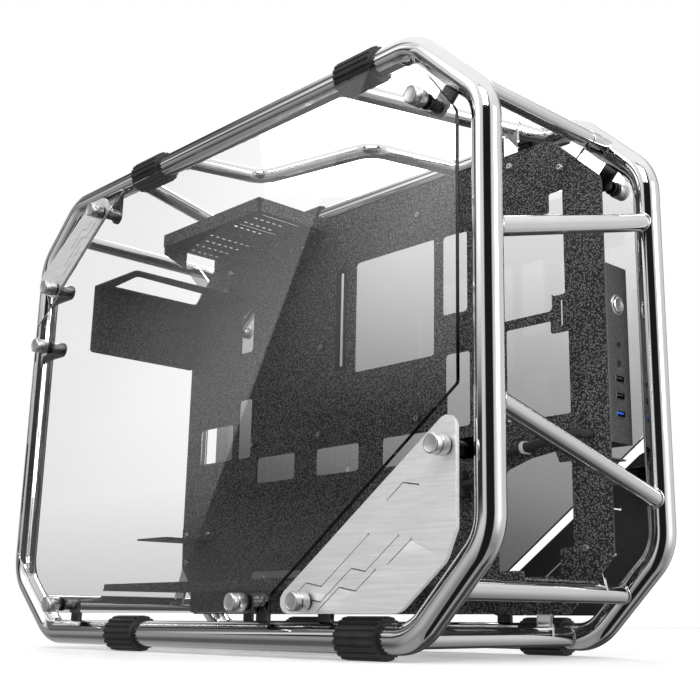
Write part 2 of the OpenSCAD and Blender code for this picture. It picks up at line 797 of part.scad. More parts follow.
module tray_screws() {
  color("silver")
    for (b = bracket_pts)
      translate([tray_x, b[0][0], b[0][1]]) rotate([0, 90, 0]) {
        translate([0, 0, -screw_h])
          difference() {
            cylinder(d1 = screw_d - 2, d2 = screw_d, h = screw_h, $fn = 24);
            translate([0, 0, -1]) cylinder(d = 3, h = 2.2, $fn = 6);
          }
        cylinder(d = 3.4, h = sheet_t + bracket_t + 2, $fn = 16);
      }
}

// Standoffs at the board's holes, leaving out the one over the processor window
standoff_at = [for (i = [0 : 2], j = [0 : 2]) if (i != 0 || j != 1)
  [board_y + board_cols[i], board_z - board_rows[j]]];

module board_standoffs() {
  color("goldenrod")
    for (p = standoff_at)
      translate([tray_x - standoff_h, p[0], p[1]]) rotate([0, 90, 0])
        difference() {
          cylinder(d = standoff_d, h = standoff_h, $fn = 24);
          translate([0, 0, -1]) cylinder(d = standoff_bore, h = standoff_h - 0.5, $fn = 16);
        }
}

// Rubber grommet that lines the cable slot and grips the tray's edge
module cable_grommet() {
  y = grommet_y;
  z = grommet_z;
  lip = grommet_lip;
  wall = grommet_wall;
  color("black") difference() {
    union() {
      yz(tray_x, sheet_t) polygon(rect(y[0], y[1], z[0], z[1]));
      for (x = [tray_x - 1.2, tray_far])
        yz(x, 1.2) polygon(rounded(rect(y[0] - lip, y[1] + lip, z[0] - lip, z[1] + lip), 2, 3));
    }
    yz(tray_x - 3, sheet_t + 6)
      polygon(rect(y[0] + wall, y[1] - wall, z[0] + wall, z[1] - wall));
  }
}

// Slotted vent, drawn in plan
module vent(x, y, len, w) {
  translate([x, y])
    polygon(rounded(rect(-len / 2, len / 2, -w / 2, w / 2), w * 0.48, 2));
}

pan_x0 = tray_x - pan_w;
pan_y1 = pan_front + pan_len;
pan_rear_y = pan_front + 193;
pan_rear_flange = 24;
vent_pitch = 9.2;
pan_lines = [42, 87];
pan_screws = [pan_front + 24, pan_front + 96];
pan_screw_z = tray_z1 - 9;

// Screw holes through a bracket's flange against the tray
module flange_holes(ys, z) {
  for (y = ys)
    translate([tray_x - 2 * sheet_t, y, z]) rotate([0, 90, 0])
      cylinder(d = screw_hole, h = 4 * sheet_t, $fn = 16);
}

// Top bracket that carries the expansion cards, folded down at its edges
module top_bracket() {
  z = tray_z1;
  color("dimgray") {
    xy(z - pan_t, pan_t)
      difference() {
        polygon([[tray_x, pan_front], [tray_x, pan_y1], [tray_x - 47, pan_y1],
                 [pan_x0, pan_rear_y], [pan_x0, pan_front]]);
        for (row = [0 : 3], k = [0 : 6])
          vent(tray_x - 64 + k * vent_pitch, pan_front + 147 + row * 22, vent_len, vent_w);
        for (row = [0 : 2], k = [0 : 4])
          vent(tray_x - 64 + k * vent_pitch, pan_front + 57 + row * 20, vent_len, vent_w);
        for (y = pan_lines) vent(tray_x - 38, pan_front + y, 56, 1.4);
      }
    yz(pan_x0, sheet_t)
      polygon(rect(pan_front + 5, pan_rear_y, z - pan_flange, z));
    xz(pan_front, sheet_t)
      polygon(rect(pan_x0 + 5, tray_x, z - pan_flange, z));
    difference() {
      yz(tray_x - sheet_t, sheet_t)
        polygon(rect(pan_front + sheet_t, pan_y1, z - pan_flange, z));
      flange_holes(pan_screws, pan_screw_z);
    }
    translate([tray_x - 47, pan_y1, 0])
      rotate([0, 0, atan2(pan_y1 - pan_rear_y, pan_w - 47)])
        rotate([0, 0, 180])
          xz(0, sheet_t)
            polygon(rect(2, norm([pan_y1 - pan_rear_y, pan_w - 47]) - 3,
                         z - pan_rear_flange, z));
  }
}

// The power supply hangs under the bracket's top, its screw face upwards.
// Screw holes are measured from the face's left front corner.
psu_x0 = tray_x - psu_w;
psu_z1 = tray_z1 - 60;
psu_y = tray_y1 + 1;
psu_margin = 4.5;
psu_top_len = psu_h + 2 * psu_margin;
psu_drop = 86;
psu_lip = 18;
psu_holes = [[6, psu_h - 6], [psu_w - 6, psu_h - 6], [30, 6], [psu_w - 6, 16]];
psu_y0 = psu_y - psu_top_len;
psu_screws = [psu_y0 + 22, psu_y0 + 42];
psu_screw_z = psu_z1 + psu_lip / 2;

module psu_bracket() {
  color("dimgray") {
    xy(psu_z1 - sheet_t, sheet_t)
      difference() {
        polygon(rounded(rect(psu_x0, tray_x, psu_y0, psu_y + sheet_t), [4, 0.5, 0.5, 0.5], 3));
        polygon(rounded([[psu_x0 + 12, psu_y0 + 17], [psu_x0 + 112, psu_y0 + 22],
                         [psu_x0 + 140, psu_y - 16], [psu_x0 + 17, psu_y - 14]], 4, 3));
        for (h = psu_holes)
          translate([psu_x0 + h[0], psu_y0 + psu_margin + h[1]]) circle(d = psu_hole, $fn = 24);
      }
    xz(psu_y, sheet_t)
      polygon(rounded(rect(psu_x0, tray_far, psu_z1 - psu_drop, psu_z1), [4, 4, 0.5, 0.5], 3));
    difference() {
      yz(tray_x - sheet_t, sheet_t)
        polygon(rounded(rect(psu_y0 + 14, psu_y0 + 51, psu_z1 - sheet_t, psu_z1 + psu_lip),
                        [0.5, 0.5, 6, 6], 3));
      flange_holes(psu_screws, psu_screw_z);
    }
  }
}

shelf_z = mid_bf[1] + bar_d / 2;
shelf_x0 = tray_x - shelf_w;
shelf_web = 24;
shelf_first = 60;
shelf_window = 48;
shelf_pitch = 116;
shelf_flange = 14;
shelf_screws = [tray_y0 + 230, tray_y1 - 110];
shelf_screw_z = shelf_z + 8;

// Drive shelf, folded up along both sides, that rests over the lower bars
module drive_shelf() {
  y0 = mid_bf[0] - 4;
  y1 = mid_br[0] + 4;
  color("dimgray") {
    xy(shelf_z, sheet_t)
      difference() {
        polygon(rounded(rect(shelf_x0, tray_x, y0, y1), 3, 3));
        for (k = [0 : 4])
          translate([0, y0 + shelf_first + k * shelf_pitch])
            polygon(rounded(rect(shelf_x0 + shelf_web, tray_x - shelf_web, 0, shelf_window),
                            5, 3));
      }
    yz(shelf_x0, sheet_t) polygon(rect(y0 + 4, y1 - 4, shelf_z, shelf_z + shelf_lip));
    difference() {
      yz(tray_x - sheet_t, sheet_t)
        polygon(rect(tray_y0 + 166, tray_y1 - 28, shelf_z, shelf_z + shelf_flange));
      flange_holes(shelf_screws, shelf_screw_z);
    }
  }
}

// Small ledge folded from a strip screwed to the tray's rear edge
ledge_flange = 18;
ledge_screws = [tray_y1 - ledge_len + 8, tray_y1 - 12];
ledge_screw_z = ledge_z + 10;

module rear_ledge() {
  y0 = tray_y1 - ledge_len - 2;
  y1 = tray_y1 - 2;
  color("dimgray") {
    xy(ledge_z, sheet_t)
      polygon(rounded(rect(tray_x - ledge_w, tray_x, y0, y1), [4, 0.5, 0.5, 4], 3));
    difference() {
      yz(tray_x - sheet_t, sheet_t)
        polygon(rect(y0, y1, ledge_z, ledge_z + ledge_flange));
      flange_holes(ledge_screws, ledge_screw_z);
    }
  }
}

// Screws that hold the folded brackets against the tray
module bracket_screws() {
  places = concat(
    [for (y = pan_screws) [y, pan_screw_z]], [for (y = psu_screws) [y, psu_screw_z]],
    [for (y = shelf_screws) [y, shelf_screw_z]], [for (y = ledge_screws) [y, ledge_screw_z]]);
  color("silver")
    for (p = places)
      translate([tray_x - sheet_t, p[0], p[1]]) rotate([0, 90, 0]) {
        translate([0, 0, -screw_h])
          difference() {
            cylinder(d1 = screw_d - 3, d2 = screw_d - 1, h = screw_h, $fn = 24);
            translate([0, 0, -1]) cylinder(d = 3, h = 2.2, $fn = 6);
          }
        cylinder(d = 3.4, h = sheet_t, $fn = 16);
      }
}

// Port box at the tray's front edge, with its ports facing forwards
io_x0 = tray_far;
io_x1 = tray_far + io_w;
io_y0 = tray_y0;
io_y1 = tray_y0 + io_depth;
io_z = tray_z1 - io_drop;
io_z1 = io_z + io_h;
io_mid = (io_x0 + io_x1) / 2;
button_z = io_z1 - 39;
jack_zs = [io_z1 - 77, io_z1 - 95];
usb_zs = [io_z1 - 110, io_z1 - 126, io_z1 - 143];
jack_d = 6.6;
usb_w = 14.5;
usb_h = 6.8;
bezel_wall = 1.4;

module io_housing() {
  color("dimgray") difference() {
    translate([io_x0, io_y0, io_z]) cube([io_w, io_depth, io_h]);
    translate([io_x0 + io_wall, io_y0 + io_wall, io_z + io_wall])
      cube([io_w - 2 * io_wall, io_depth, io_h - 2 * io_wall]);
    front_hole(button_z, button_d + 2 * button_fit + 2 * bezel_wall);
    for (z = jack_zs) front_hole(z, jack_d);
    for (z = usb_zs)
      translate([io_mid - usb_w / 2, io_y0 - 1, z - usb_h / 2])
        cube([usb_w, io_wall + 2, usb_h]);
    harness_hole();
  }
}

module front_hole(z, d) {
  translate([io_mid, io_y0 - 1, z]) rotate([-90, 0, 0])
    cylinder(d = d, h = io_wall + 2, $fn = 32);
}

// Folded bracket that closes the port box behind and turns forward under it
bracket_drop = 14;

module io_bracket() {
  color("black") {
    translate([io_x0, io_y1, io_z - bracket_drop])
      cube([io_w, io_wall, io_h + bracket_drop]);
    translate([io_x0, io_y0 + 8, io_z - bracket_drop])
      cube([io_w, io_y1 + io_wall - io_y0 - 8, io_wall]);
    translate([io_x0, io_y0 + 8, io_z - bracket_drop])
      cube([io_wall, io_y1 + io_wall - io_y0 - 8, bracket_drop]);
  }
}

// Seat ring of the power button
module button_bezel() {
  d = button_d + 2 * button_fit;
  color("gray")
    translate([io_mid, io_y0 - 1, button_z]) rotate([-90, 0, 0])
      difference() {
        union() {
          cylinder(d = d + 2 * bezel_wall, h = 9, $fn = 48);
          cylinder(d1 = d + 2 * bezel_wall + 1, d2 = d + 2 * bezel_wall + 2, h = 1, $fn = 48);
        }
        translate([0, 0, -1]) cylinder(d = d, h = 11, $fn = 48);
      }
}

// Power button, dished in front and stepped behind
module power_button() {
  r = button_d / 2;
  color("silver")
    translate([io_mid, io_y0 - 2.6, button_z]) rotate([-90, 0, 0])
      rotate_extrude($fn = 48)
        polygon([[0, 0.7], [r * 0.4, 0.55], [r * 0.75, 0.15], [r - 0.9, 0], [r - 0.2, 0.3],
                 [r, 0.8], [r, 8], [2.5, 8], [2.5, 11], [0, 11]]);
}

// Switch body that the button presses
module button_switch() {
  y = io_y0 - 2.6 + 11 + button_travel + 0.3;
  color("black")
    translate([io_mid - 7, y, button_z - 7]) cube([14, io_y1 - y, 14]);
}

module audio_jacks() {
  color("darkgray")
    for (z = jack_zs)
      translate([io_mid, io_y0 - 0.6, z]) rotate([-90, 0, 0])
        difference() {
          cylinder(d = jack_d, h = 14, $fn = 24);
          translate([0, 0, -1]) cylinder(d = 3.6, h = 13, $fn = 16);
        }
}

module usb_ports() {
  color("silver")
    for (z = usb_zs)
      translate([io_mid - usb_w / 2, io_y0 - 0.5, z - usb_h / 2])
        difference() {
          cube([usb_w, 15, usb_h]);
          translate([0.7, -1, 0.7]) cube([usb_w - 1.4, 14, usb_h - 1.4]);
        }
}

// Contact tongue inside a port at height z
module tongue(z) {
  translate([io_mid - usb_w / 2 + 1.6, io_y0 + 1, z + 0.2]) cube([usb_w - 3.2, 11.5, 2]);
}

module usb2_tongues() {
  color("black") for (k = [0, 1]) tongue(usb_zs[k]);
}

module usb3_tongue() {
  color("royalblue") tongue(usb_zs[2]);
}

module io_screws() {
  color("silver")
    for (z = [io_z + 12, io_z1 - 12])
      translate([io_mid, io_y1 + io_wall, z]) rotate([-90, 0, 0])
        cylinder(d1 = screw_d - 1, d2 = screw_d - 3, h = screw_h, $fn = 24);
}

// Cable bundle from the port box, through the tray and along its left face
harness_x = tray_x - harness_d / 2 - 3;
harness_pts = [
  [io_x0 + 12, io_y1 - 10, io_z + 9], [tray_x - 2, io_y1 - 10, io_z + 9],
  [harness_x - 3, io_y1 + 2, io_z + 9], [harness_x, io_y1 + 22, io_z + 6],
  [harness_x, io_y1 + 68, io_z + 2], [harness_x, io_y1 + 92, io_z - 5],
  [harness_x, io_y1 + 112, io_z - 18], [harness_x, io_y1 + 126, io_z - 26],
  [harness_x, io_y1 + 133, io_z - 26], [harness_x, io_y1 + 140, io_z - 26]];
harness_sides = 10;
harness_steps = 4;

// Points of a smooth curve through p, k to each span
function spline_at(a, b, c, d, t) =
  0.5 * (2 * b + (c - a) * t + (2 * a - 5 * b + 4 * c - d) * t * t
         + (3 * b - a - 3 * c + d) * t * t * t);
function smooth_path(p, k) = let (n = len(p) - 1)
  [for (i = [0 : n - 1], j = [0 : k - 1])
    spline_at(p[max(i - 1, 0)], p[i], p[i + 1], p[min(i + 2, n)], j / k), p[n]];

// Round cable swept along a path that never runs straight up
module sweep(path, d, sides) {
  n = len(path);
  rings = [for (i = [0 : n - 1])
    let (t = unit(path[min(i + 1, n - 1)] - path[max(i - 1, 0)]),
         u = unit(cross([0, 0, 1], t)), w = cross(t, u))
    for (k = [0 : sides - 1])
      path[i] + (u * cos(k * 360 / sides) + w * sin(k * 360 / sides)) * d / 2];
  skin = [for (i = [0 : n - 2], k = [0 : sides - 1])
    let (a = i * sides + k, b = i * sides + (k + 1) % sides)
    each [[a, a + sides, b], [b, a + sides, b + sides]]];
  polyhedron(rings, concat(skin,
    [[for (k = [0 : sides - 1]) k]],
    [[for (k = [sides - 1 : -1 : 0]) (n - 1) * sides + k]]));
}

module port_harness() {
  color("black") sweep(smooth_path(harness_pts, harness_steps), harness_d, harness_sides);
}

// Flat tie round the bundle, its two legs held at the tray
tie_gap = 0.8;
tie_wall = 1.2;
tie_len = 4;

module tie_outline(d) {
  circle(d = d, $fn = 32);
  translate([0, -d / 2]) square([tray_x - harness_x, d]);
}

module harness_tie() {
  color("lightgray")
    translate([harness_x, io_y1 + 60 + tie_len, io_z + 2.8])
      rotate([90, 0, 0])
        linear_extrude(tie_len)
          difference() {
            tie_outline(harness_d + 2 * tie_gap + 2 * tie_wall);
            tie_outline(harness_d + 2 * tie_gap);
          }
}

// Stacked plugs at the end of the bundle
plug_h = harness_d + 1;
plug_w = harness_d + 1;
plug_len = 17;

module harness_plugs() {
  e = harness_pts[len(harness_pts) - 1];
  color("black")
    for (k = [-1 : 1])
      translate([e[0] - plug_w / 2, e[1] - abs(k) * 3, e[2] + k * plug_h - plug_h / 2])
        cube([plug_w, plug_len, plug_h]);
}

left_loop();
right_loop();
top_front_bar();
upper_front_bar();
front_brace();
lower_front_bar();
bottom_front_bar();
lower_rear_bar();
upper_rear_bar();
top_cross_bar();
bent_top_tube();
top_rear_bar();
bar_collars();
rubber_sleeves();
left_glass();
right_glass();
left_upper_plate();
right_upper_plate();
left_lower_plate();
right_lower_plate();
left_panel_mounts();
right_panel_mounts();
left_thumb_nuts();
right_thumb_nuts();
panel_washers();
motherboard_tray();
tray_brackets();
tray_screws();
board_standoffs();
cable_grommet();
top_bracket();
psu_bracket();
drive_shelf();
rear_ledge();
bracket_screws();
io_housing();
io_bracket();
button_bezel();
power_button();
button_switch();
audio_jacks();
usb_ports();
usb2_tongues();
usb3_tongue();
io_screws();
port_harness();
harness_tie();
harness_plugs();
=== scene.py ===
"""Looks of the open-frame computer case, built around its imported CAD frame.

Everything stands in the frame of the CAD: X runs from the left loop to the right
loop, -Y is the front with the ports, and Z is up from the floor. Sizes that a class
holds are in millimetres and angles in degrees, unless its docstring says otherwise.
"""

import json
import logging
import math
from dataclasses import dataclass
from enum import Enum, IntEnum
from typing import Callable, Protocol, Sequence

import bmesh
import bpy
from mathutils import Matrix, Vector

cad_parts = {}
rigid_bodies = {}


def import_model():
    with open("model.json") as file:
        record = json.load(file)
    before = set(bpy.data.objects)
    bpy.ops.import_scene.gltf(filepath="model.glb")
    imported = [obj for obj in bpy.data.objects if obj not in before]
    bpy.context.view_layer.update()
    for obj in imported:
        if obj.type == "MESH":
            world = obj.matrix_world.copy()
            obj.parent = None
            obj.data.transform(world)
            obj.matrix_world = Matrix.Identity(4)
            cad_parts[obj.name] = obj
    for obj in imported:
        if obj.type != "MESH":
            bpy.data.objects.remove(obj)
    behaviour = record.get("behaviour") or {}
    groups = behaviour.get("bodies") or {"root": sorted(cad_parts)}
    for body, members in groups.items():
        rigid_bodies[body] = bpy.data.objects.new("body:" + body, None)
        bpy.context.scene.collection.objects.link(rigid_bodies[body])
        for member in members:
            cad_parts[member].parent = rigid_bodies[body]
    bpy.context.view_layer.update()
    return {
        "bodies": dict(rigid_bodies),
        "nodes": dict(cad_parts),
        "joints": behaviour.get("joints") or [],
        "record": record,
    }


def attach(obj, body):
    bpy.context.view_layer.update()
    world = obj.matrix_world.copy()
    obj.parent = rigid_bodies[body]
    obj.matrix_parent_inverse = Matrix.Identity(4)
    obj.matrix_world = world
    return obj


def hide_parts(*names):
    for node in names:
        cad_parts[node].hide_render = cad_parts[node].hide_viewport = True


LOG = logging.getLogger("computer_case")
# Metres in a millimetre
MM = 0.001
# CAD body that every new piece rides on
CASE = "case"
# Least share of a unit normal along an axis that its face looks along
FACING = 0.9
Pair = tuple[float, float]
Colour = tuple[float, float, float]
Point = tuple[float, float, float]


class Side(Enum):
    """The two sides of the case, by the sign of X."""

    LEFT = -1
    RIGHT = 1

    @property
    def word(self) -> str:
        """Give the side's name as the CAD nodes spell it."""
        return self.name.lower()


class Level(Enum):
    """The two corner plates of a side, by the word in their CAD nodes."""

    UPPER = "upper"
    LOWER = "lower"


class LoopRun(IntEnum):
    """The straight runs of a loop, in the order of the corners where they start."""

    BOTTOM = 0
    LOWER_REAR = 1
    REAR = 2
    UPPER_REAR = 3
    TOP = 4
    UPPER_FRONT = 5
    FRONT = 6
    LOWER_FRONT = 7


@dataclass(frozen=True)
class CrossTube:
    """A straight cross tube: its ends in (Y, Z) and the run of the loops they meet."""

    left: Vector
    right: Vector
    run: LoopRun


@dataclass(frozen=True)
class CaseLayout:
    """Driving sizes of the tube frame."""

    loop_x: float = 118.5
    front_y: float = -366.0
    rear_y: float = 366.0
    base_z: float = 17.7
    top_z: float = 530.7
    tube_d: float = 25.4
    tube_bend: float = 45.0
    bar_d: float = 17.0
    top_front: Pair = (80.0, 74.5)
    bottom_front: Pair = (77.0, 76.5)
    bottom_rear: Pair = (80.0, 65.0)
    top_rear: Pair = (68.0, 62.0)
    front_bar_drops: Pair = (190.0, 124.0)
    brace_rises: Pair = (185.0, 119.0)
    bottom_bar_gap: float = 100.0
    cross_gaps: Pair = (191.0, 117.0)
    top_rear_gaps: Pair = (196.0, 106.0)
    bent_bend: float = 30.0
    bent_ends: Pair = (83.0, -123.0)
    bent_turns: tuple[Pair, ...] = ((-22.0, 58.0), (8.0, -93.0))

    def corners(self) -> list[Vector]:
        """Give a loop's sharp corners.

        Returns:
            The corners in (Y, Z), anticlockwise from the bottom front.
        """
        front, rear, low, high = self.front_y, self.rear_y, self.base_z, self.top_z
        spots = [
            (front + self.bottom_front[0], low), (rear - self.bottom_rear[0], low),
            (rear, low + self.bottom_rear[1]), (rear, high - self.top_rear[1]),
            (rear - self.top_rear[0], high), (front + self.top_front[0], high),
            (front, high - self.top_front[1]), (front, low + self.bottom_front[1])]
        return [Vector(spot) for spot in spots]

    def bars(self) -> dict[str, CrossTube]:
        """Give the straight cross tubes.

        Returns:
            Each tube by the name of its CAD node.
        """
        spots = self.corners()
        front, rear, high, low = self.front_y, self.rear_y, self.top_z, self.base_z

        def middle(run: LoopRun) -> CrossTube:
            """Give a level tube between the middles of one run of both loops."""
            spot = (spots[run] + spots[(run + 1) % len(spots)]) / 2
            return CrossTube(spot, spot, run)

        def upright(heights: Sequence[float]) -> CrossTube:
            """Give a tube between the front uprights, by its ends' heights."""
            left, right = (Vector((front, height)) for height in heights)
            return CrossTube(left, right, LoopRun.FRONT)

        def across(places: Sequence[float]) -> CrossTube:
            """Give a tube between the top runs, by its ends' places along Y."""
            left, right = (Vector((place, high)) for place in places)
            return CrossTube(left, right, LoopRun.TOP)

        bottom = Vector((front + self.bottom_bar_gap, low))
        return {
            "top_front_bar": middle(LoopRun.UPPER_FRONT),
            "upper_front_bar": upright([high - drop for drop in self.front_bar_drops]),
            "front_brace": upright([low + rise for rise in self.brace_rises]),
            "lower_front_bar": middle(LoopRun.LOWER_FRONT),
            "bottom_front_bar": CrossTube(bottom, bottom, LoopRun.BOTTOM),
            "lower_rear_bar": middle(LoopRun.LOWER_REAR),
            "upper_rear_bar": middle(LoopRun.UPPER_REAR),
            "top_cross_bar": across([front + gap for gap in self.cross_gaps]),
            "top_rear_bar": across([rear - gap for gap in self.top_rear_gaps]),
        }


def scaled(colour: Colour, share: float) -> Colour:
    """Darken or lighten a colour by a factor, up to white."""
    return tuple(min(1.0, part * share) for part in colour)


def stand(name: str, data: bpy.types.ID) -> bpy.types.Object:
    """Put a new object in the scene.

    Args:
        name: Name of the object.
        data: Its mesh, camera or light.

    Returns:
        The new object.
    """
    thing = bpy.data.objects.new(name, data)
    bpy.context.scene.collection.objects.link(thing)
    return thing


def close_mesh(name: str, builder: bmesh.types.BMesh) -> bpy.types.Mesh:
    """Turn a built mesh into mesh data.

    Args:
        name: Name of the mesh.
        builder: The built mesh, which is freed.

    Returns:
        The new mesh.
    """
    mesh = bpy.data.meshes.new(name)
    builder.to_mesh(mesh)
    builder.free()
    return mesh


@dataclass(frozen=True)
class Fade:
    """A change between two values while what drives it runs over a span."""

    values: Pair
    span: Pair = (0.0, 1.0)


class NodeTable:
    """Short-hand for wiring a tree of shader nodes."""

    def __init__(self, tree: bpy.types.NodeTree) -> None:
        """Clear the tree and keep it.

        Args:
            tree: The node tree of a material or world.
        """
        self.tree = tree
        self.tree.nodes.clear()

    def add(self, kind: str, **inputs: object) -> bpy.types.Node:
        """Add a node and set its unlinked inputs.

        Args:
            kind: Blender's name of the node type.
            **inputs: Values by socket name, with underscores for spaces.

        Returns:
            The new node.
        """
        node = self.tree.nodes.new(kind)
        for key, value in inputs.items():
            node.inputs[key.replace("_", " ")].default_value = value
        return node

    def join(self, start: bpy.types.NodeSocket, end: bpy.types.NodeSocket) -> None:
        """Link one socket to another."""
        self.tree.links.new(start, end)

    def feed(self, value: "bpy.types.NodeSocket | float",
             end: bpy.types.NodeSocket) -> None:
        """Give a socket its value, as a link or as a number.

        Args:
            value: A socket or a number.
            end: The socket that takes it.
        """
        if isinstance(value, (int, float)):
            end.default_value = value
        else:
            self.join(value, end)

    def maths(self, kind: str, first: bpy.types.NodeSocket,
              second: "bpy.types.NodeSocket | float") -> bpy.types.NodeSocket:
        """Combine two values.

        Args:
            kind: Operation of the Math node.
            first: First value.
            second: Second value, a socket or a number.

        Returns:
            The result socket.
        """
        node = self.add("ShaderNodeMath")
        node.operation = kind
        self.join(first, node.inputs[0])
        self.feed(second, node.inputs[1])
        return node.outputs["Value"]

    def vector_maths(self, kind: str, first: bpy.types.NodeSocket,
                     second: Point = (0.0, 0.0, 0.0)) -> bpy.types.Node:
        """Combine a vector with a fixed one.

        Args:
            kind: Operation of the Vector Math node.
            first: The vector to read.
            second: The fixed vector.

        Returns:
            The node, with its Vector and Value outputs.
        """
        node = self.add("ShaderNodeVectorMath")
        node.operation = kind
        node.inputs[1].default_value = second
        self.join(first, node.inputs[0])
        return node

    def mix(self, factor: bpy.types.NodeSocket, first: bpy.types.NodeSocket,
            second: "bpy.types.NodeSocket | float") -> bpy.types.NodeSocket:
        """Blend two values.

        Args:
            factor: Share of the second value.
            first: First value.
            second: Second value, a socket or a number.

        Returns:
            The blended value.
        """
        node = self.add("ShaderNodeMix")
        self.join(factor, node.inputs["Factor"])
        self.join(first, node.inputs["A"])
        self.feed(second, node.inputs["B"])
        return node.outputs["Result"]

    def weigh(self, first: bpy.types.NodeSocket, second: bpy.types.NodeSocket,
              share: float) -> bpy.types.NodeSocket:
        """Add two values by their weights.

        Args:
            first: First value.
            second: Second value.
            share: Weight of the first value; the second has the rest.

        Returns:
            The weighted sum.
        """
        return self.maths("ADD", self.maths("MULTIPLY", first, share),
                          self.maths("MULTIPLY", second, 1.0 - share))

    def spread(self, value: bpy.types.NodeSocket, low: float, high: float,
               start: float = 0.0, end: float = 1.0) -> bpy.types.NodeSocket:
        """Map a factor onto a range of values.

        Args:
            value: The factor to read.
            low: Result at the start of the factor.
            high: Result at the end of the factor.
            start: Factor that gives the low value.
            end: Factor that gives the high value.

        Returns:
            The mapped value.
        """
        node = self.add("ShaderNodeMapRange", From_Min=start, From_Max=end,
                        To_Min=low, To_Max=high)
        self.join(value, node.inputs["Value"])
        return node.outputs["Result"]

    def fade(self, value: bpy.types.NodeSocket, fade: Fade) -> bpy.types.NodeSocket:
        """Map a value as a fade says."""
        return self.spread(value, *fade.values, *fade.span)

    def band(self, value: bpy.types.NodeSocket, limits: Pair,
             soft: float) -> bpy.types.NodeSocket:
        """Give 1 between two limits and 0 outside, with soft edges.

        Args:
            value: The value to read.
            limits: Lower and upper limit.
            soft: Width of each soft edge.

        Returns:
            The mask socket.
        """
        low, high = limits
        rise = self.spread(value, 0.0, 1.0, low, low + soft)
        fall = self.spread(value, 1.0, 0.0, high - soft, high)
        return self.maths("MULTIPLY", rise, fall)

    def place(self, scale: Point = (1.0, 1.0, 1.0),
              shift: Point = (0.0, 0.0, 0.0)) -> bpy.types.NodeSocket:
        """Give object coordinates, stretched along the axes.

        Args:
            scale: Factor along X, Y and Z.
            shift: Metres that are added along X, Y and Z.

        Returns:
            The socket with the new coordinates.
        """
        coords = self.add("ShaderNodeTexCoord")
        mapping = self.add("ShaderNodeMapping", Scale=scale, Location=shift)
        self.join(coords.outputs["Object"], mapping.inputs["Vector"])
        return mapping.outputs["Vector"]

    def noise(self, where: bpy.types.NodeSocket, scale: float, detail: float = 3.0,
              rough: float = 0.5) -> bpy.types.NodeSocket:
        """Add a noise texture.

        Args:
            where: Coordinates to read.
            scale: Noise scale in waves per metre.
            detail: Number of octaves.
            rough: Weight of the finer octaves.

        Returns:
            The factor socket.
        """
        node = self.add("ShaderNodeTexNoise", Scale=scale, Detail=detail, Roughness=rough)
        self.join(where, node.inputs["Vector"])
        return node.outputs["Fac"]

    def cells(self, where: bpy.types.NodeSocket, scale: float) -> bpy.types.NodeSocket:
        """Add a Voronoi texture.

        Args:
            where: Coordinates to read.
            scale: Cells per metre.

        Returns:
            The distance from the nearest cell's middle.
        """
        node = self.add("ShaderNodeTexVoronoi", Scale=scale)
        self.join(where, node.inputs["Vector"])
        return node.outputs["Distance"]

    def ramp(self, value: bpy.types.NodeSocket,
             stops: Sequence[tuple[float, Colour]]) -> bpy.types.NodeSocket:
        """Turn a factor into a colour.

        Args:
            value: The factor to read.
            stops: Positions and colours, in order.

        Returns:
            The colour socket.
        """
        node = self.add("ShaderNodeValToRGB")
        bar = node.color_ramp
        while len(bar.elements) < len(stops):
            bar.elements.new(0.5)
        for element, (position, colour) in zip(bar.elements, stops):
            element.position = position
            element.color = (*colour, 1.0)
        self.join(value, node.inputs["Fac"])
        return node.outputs["Color"]


class NodeSheet(NodeTable):
    """Short-hand for wiring one material around a Principled shader."""

    def __init__(self, name: str) -> None:
        """Start a material with one Principled shader.

        Args:
            name: Name of the new material.
        """
        self.material = bpy.data.materials.new(name)
        self.material.use_nodes = True
        super().__init__(self.material.node_tree)
        output = self.add("ShaderNodeOutputMaterial")
        self.shader = self.add("ShaderNodeBsdfPrincipled")
        self.join(self.shader.outputs["BSDF"], output.inputs["Surface"])

    def set(self, **values: object) -> None:
        """Set unlinked values on the shader, by socket name."""
        for key, value in values.items():
            self.shader.inputs[key.replace("_", " ")].default_value = value

    def paint(self, factor: bpy.types.NodeSocket, *stops: tuple[float, Colour]) -> None:
        """Colour the surface by a factor's positions."""
        self.join(self.ramp(factor, stops), self.shader.inputs["Base Color"])

    def gloss(self, factor: bpy.types.NodeSocket, roughness: Pair,
              span: Pair = (0.0, 1.0)) -> None:
        """Vary the surface's roughness over a span of a factor."""
        self.join(self.spread(factor, *roughness, *span), self.shader.inputs["Roughness"])

    def bump(self, height: bpy.types.NodeSocket, depth: float) -> None:
        """Feed a height into the shader's normal.

        Args:
            height: The height factor, from 0 to 1.
            depth: Real depth in metres that a factor of 1 stands for.
        """
        node = self.add("ShaderNodeBump", Strength=1.0, Distance=depth)
        self.join(height, node.inputs["Height"])
        self.join(node.outputs["Normal"], self.shader.inputs["Normal"])


class Finish(Protocol):
    """What every finish has: a name and a way to make its material.

    Scales count waves or cells in a metre, depths are in metres, and a span is the
    part of a noise factor over which a value changes.
    """

    name: str

    def build(self) -> bpy.types.Material:
        """Make the material."""


